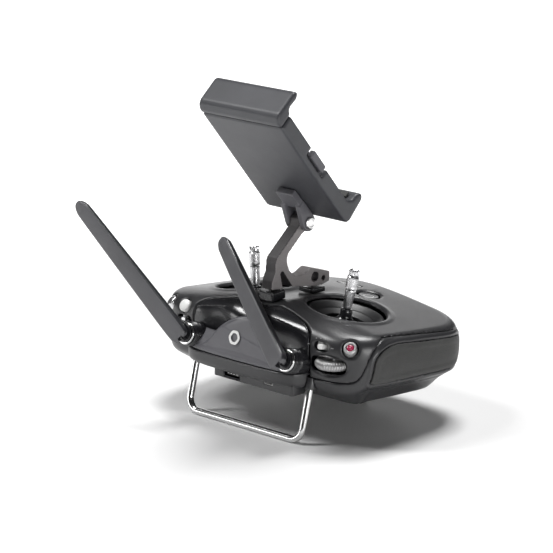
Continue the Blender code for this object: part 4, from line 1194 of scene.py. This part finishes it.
def fittings():
    """Foot, ports, seats and the phone holder."""
    for node, voxel in (("port_block", 0.5), ("rear_foot", 0.7),
                        ("bracket_seat_front", 0.45), ("bracket_seat_rear", 0.45)):
        refine(node, voxel, 4, 0.6)
    nodes["usb_a_port"].data.materials[0] = GUNMETAL
    tongue_axis = Axis((USB_A_X, -2, USB_A_Z), (0, -1, 0))
    attach(block("usb_a_tongue", tongue_axis, 5.4, 0.5, -9.0, -1.4, 0.2), "body", GLOSS)
    for i in range(4):
        base = Axis((USB_A_X + (i - 1.5) * 2.6, -2, USB_A_Z + 0.55), (0, -1, 0))
        contact = block(f"usb_a_contact_{i}", base, 0.5, 0.12, -7.5, -0.7, 0.05)
        attach(contact, "body", SILVER)
    sleeve_axis = Axis((24.4, -2.2, 36.6), (0, -1, 0))
    sleeve = block("micro_usb_sleeve", sleeve_axis, 3.75, 1.15, -4.5, -0.2, 0.6)
    cut(sleeve, block("mouth", sleeve_axis, 3.4, 0.8, -3.8, 2.0, 0.45))
    attach(sleeve, "body", GREY_METAL)
    arm = refine("holder_arm", 0.5, 6, 0.5)
    # Painted shade: faces turned to the front take the dark copy of the alloy, in place of shade from the
    # light.
    arm.data.materials.append(CAST_PAINTED_SHADE)
    for polygon in arm.data.polygons:
        if polygon.normal.y < -0.45 and abs(polygon.normal.x) < 0.6:
            polygon.material_index = 1
    pin_axis = Axis((0, 54.5, 129.6), (1, 0, 0))
    pin = [(0, -10.0), (3.4, -10.0), (4.15, -9.5), (4.15, -8.8), (2.1, -8.7), (2.1, 8.7), (4.15, 8.8),
           (4.15, 9.5), (3.4, 10.0), (2.6, 10.0), (2.4, 9.7), (0, 9.7)]
    turned_node("holder_pin", pin_axis, fillet(pin, 0.25), 56, WHITE_METAL)
    refine("clamp_plate", 0.75, 6, 0.35, HOOD)
    refine("clamp_jaw", 0.75, 7, 0.4, HOOD)
    refine("clamp_knuckle", 0.45, 5, 0.5)
    release = refine("clamp_release", 0.4, 4, 0.5)
    low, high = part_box("clamp_release")
    middle = (Vector(low) + Vector(high)) / 2 / MM

    def slimmer(point, normal):
        return Vector((0, middle.y - point.y, middle.z - point.z)) * RELEASE_SLIMMING

    reshape(release, slimmer)


# ---------------------------------------------------------------- floor, light, camera


FLOOR_HALF = 9.0
GLOW_START, GLOW_FULL, GLOW_STRENGTH = 0.22, 0.75, 0.6


def floor():
    """Pale floor, white towards the distance."""
    mesh = bpy.data.meshes.new("floor")
    s = FLOOR_HALF
    mesh.from_pydata([(-s, -s, 0), (s, -s, 0), (s, s, 0), (-s, s, 0)], [], [(0, 1, 2, 3)])
    obj = placed("floor", mesh)
    g = Graph("floor")
    length = g.add("ShaderNodeVectorMath", operation="LENGTH")
    g.link(g.mapped((1.0, 1.0, 0.0)), length.inputs[0])
    far = g.add("ShaderNodeMapRange", interpolation_type="SMOOTHSTEP")
    far.inputs["From Min"].default_value = GLOW_START
    far.inputs["From Max"].default_value = GLOW_FULL
    g.link(length.outputs["Value"], far.inputs["Value"])
    g.feed("Base Color", g.levels(g.noise(6.0, 3.0), 0.86, 0.90))
    g.put("Roughness", 0.6)
    g.put("Emission Color", (1.0, 1.0, 1.0, 1.0))
    g.feed("Emission Strength", g.levels(far.outputs["Result"], 0.0, GLOW_STRENGTH))
    mesh.materials.append(g.material)


def area_light(name, at, target, size, power, size_y=None):
    data = bpy.data.lights.new(name, "AREA")
    data.energy = power
    data.size = size
    if size_y:
        data.shape = "RECTANGLE"
        data.size_y = size_y
    obj = placed(name, data)
    obj.location = at
    direction = Vector(target) - Vector(at)
    obj.rotation_euler = direction.to_track_quat("-Z", "Y").to_euler()


LENS, SENSOR = 176.2, 36.0
AZIMUTH, ELEVATION, DISTANCE = radians(43.0), radians(15.4), 1.7693
LOOK_AT = (-2.15, 33.95, 95.46)
WORLD_STRENGTH = 0.025
LIT_POINT = (0.0, 0.06, 0.07)
LIGHTS = (  # name, place, width, height (None for a square light), power
    ("key", (-0.78, -0.66, 1.42), 0.32, 0.6, 17.0),
    ("top", (-0.15, 0.5, 1.65), 0.6, None, 28.0),
    ("fill", (1.75, -0.6, 0.27), 0.8, 0.42, 13.0),
    ("front", (-1.5, -1.6, 0.28), 0.6, 0.42, 4.5),
    ("back", (-1.7, 1.85, 0.5), 1.6, 0.8, 7.0),
)


def light_and_camera():
    """Soft studio light, brightest from above, and the camera."""
    scene = bpy.context.scene
    world = bpy.data.worlds.new("studio")
    world.use_nodes = True
    world.node_tree.nodes["Background"].inputs["Color"].default_value = (1.0, 1.0, 1.0, 1.0)
    world.node_tree.nodes["Background"].inputs["Strength"].default_value = WORLD_STRENGTH
    scene.world = world
    for name, place, width, height, power in LIGHTS:
        area_light(name, place, LIT_POINT, width, power, height)
    data = bpy.data.cameras.new("camera")
    data.lens = LENS
    data.sensor_width = SENSOR
    data.clip_start = 0.1
    data.clip_end = 100.0
    camera = placed("camera", data)
    away = Vector((sin(AZIMUTH) * cos(ELEVATION), -cos(AZIMUTH) * cos(ELEVATION), sin(ELEVATION)))
    camera.location = Vector(LOOK_AT) * MM + away * DISTANCE
    camera.rotation_euler = (-away).to_track_quat("-Z", "Y").to_euler()
    scene.camera = camera
    scene.view_settings.view_transform = "Standard"


top_shell()
bottom_shell()
front_cover()
logo_panel()
emblem()
grip_pad("right", 1)
grip_pad("left", -1)
for word, side in (("left", -1), ("right", 1)):
    antenna_parts(word)
    stick(word, side)
handle()
controls()
fittings()

floor()
light_and_camera()
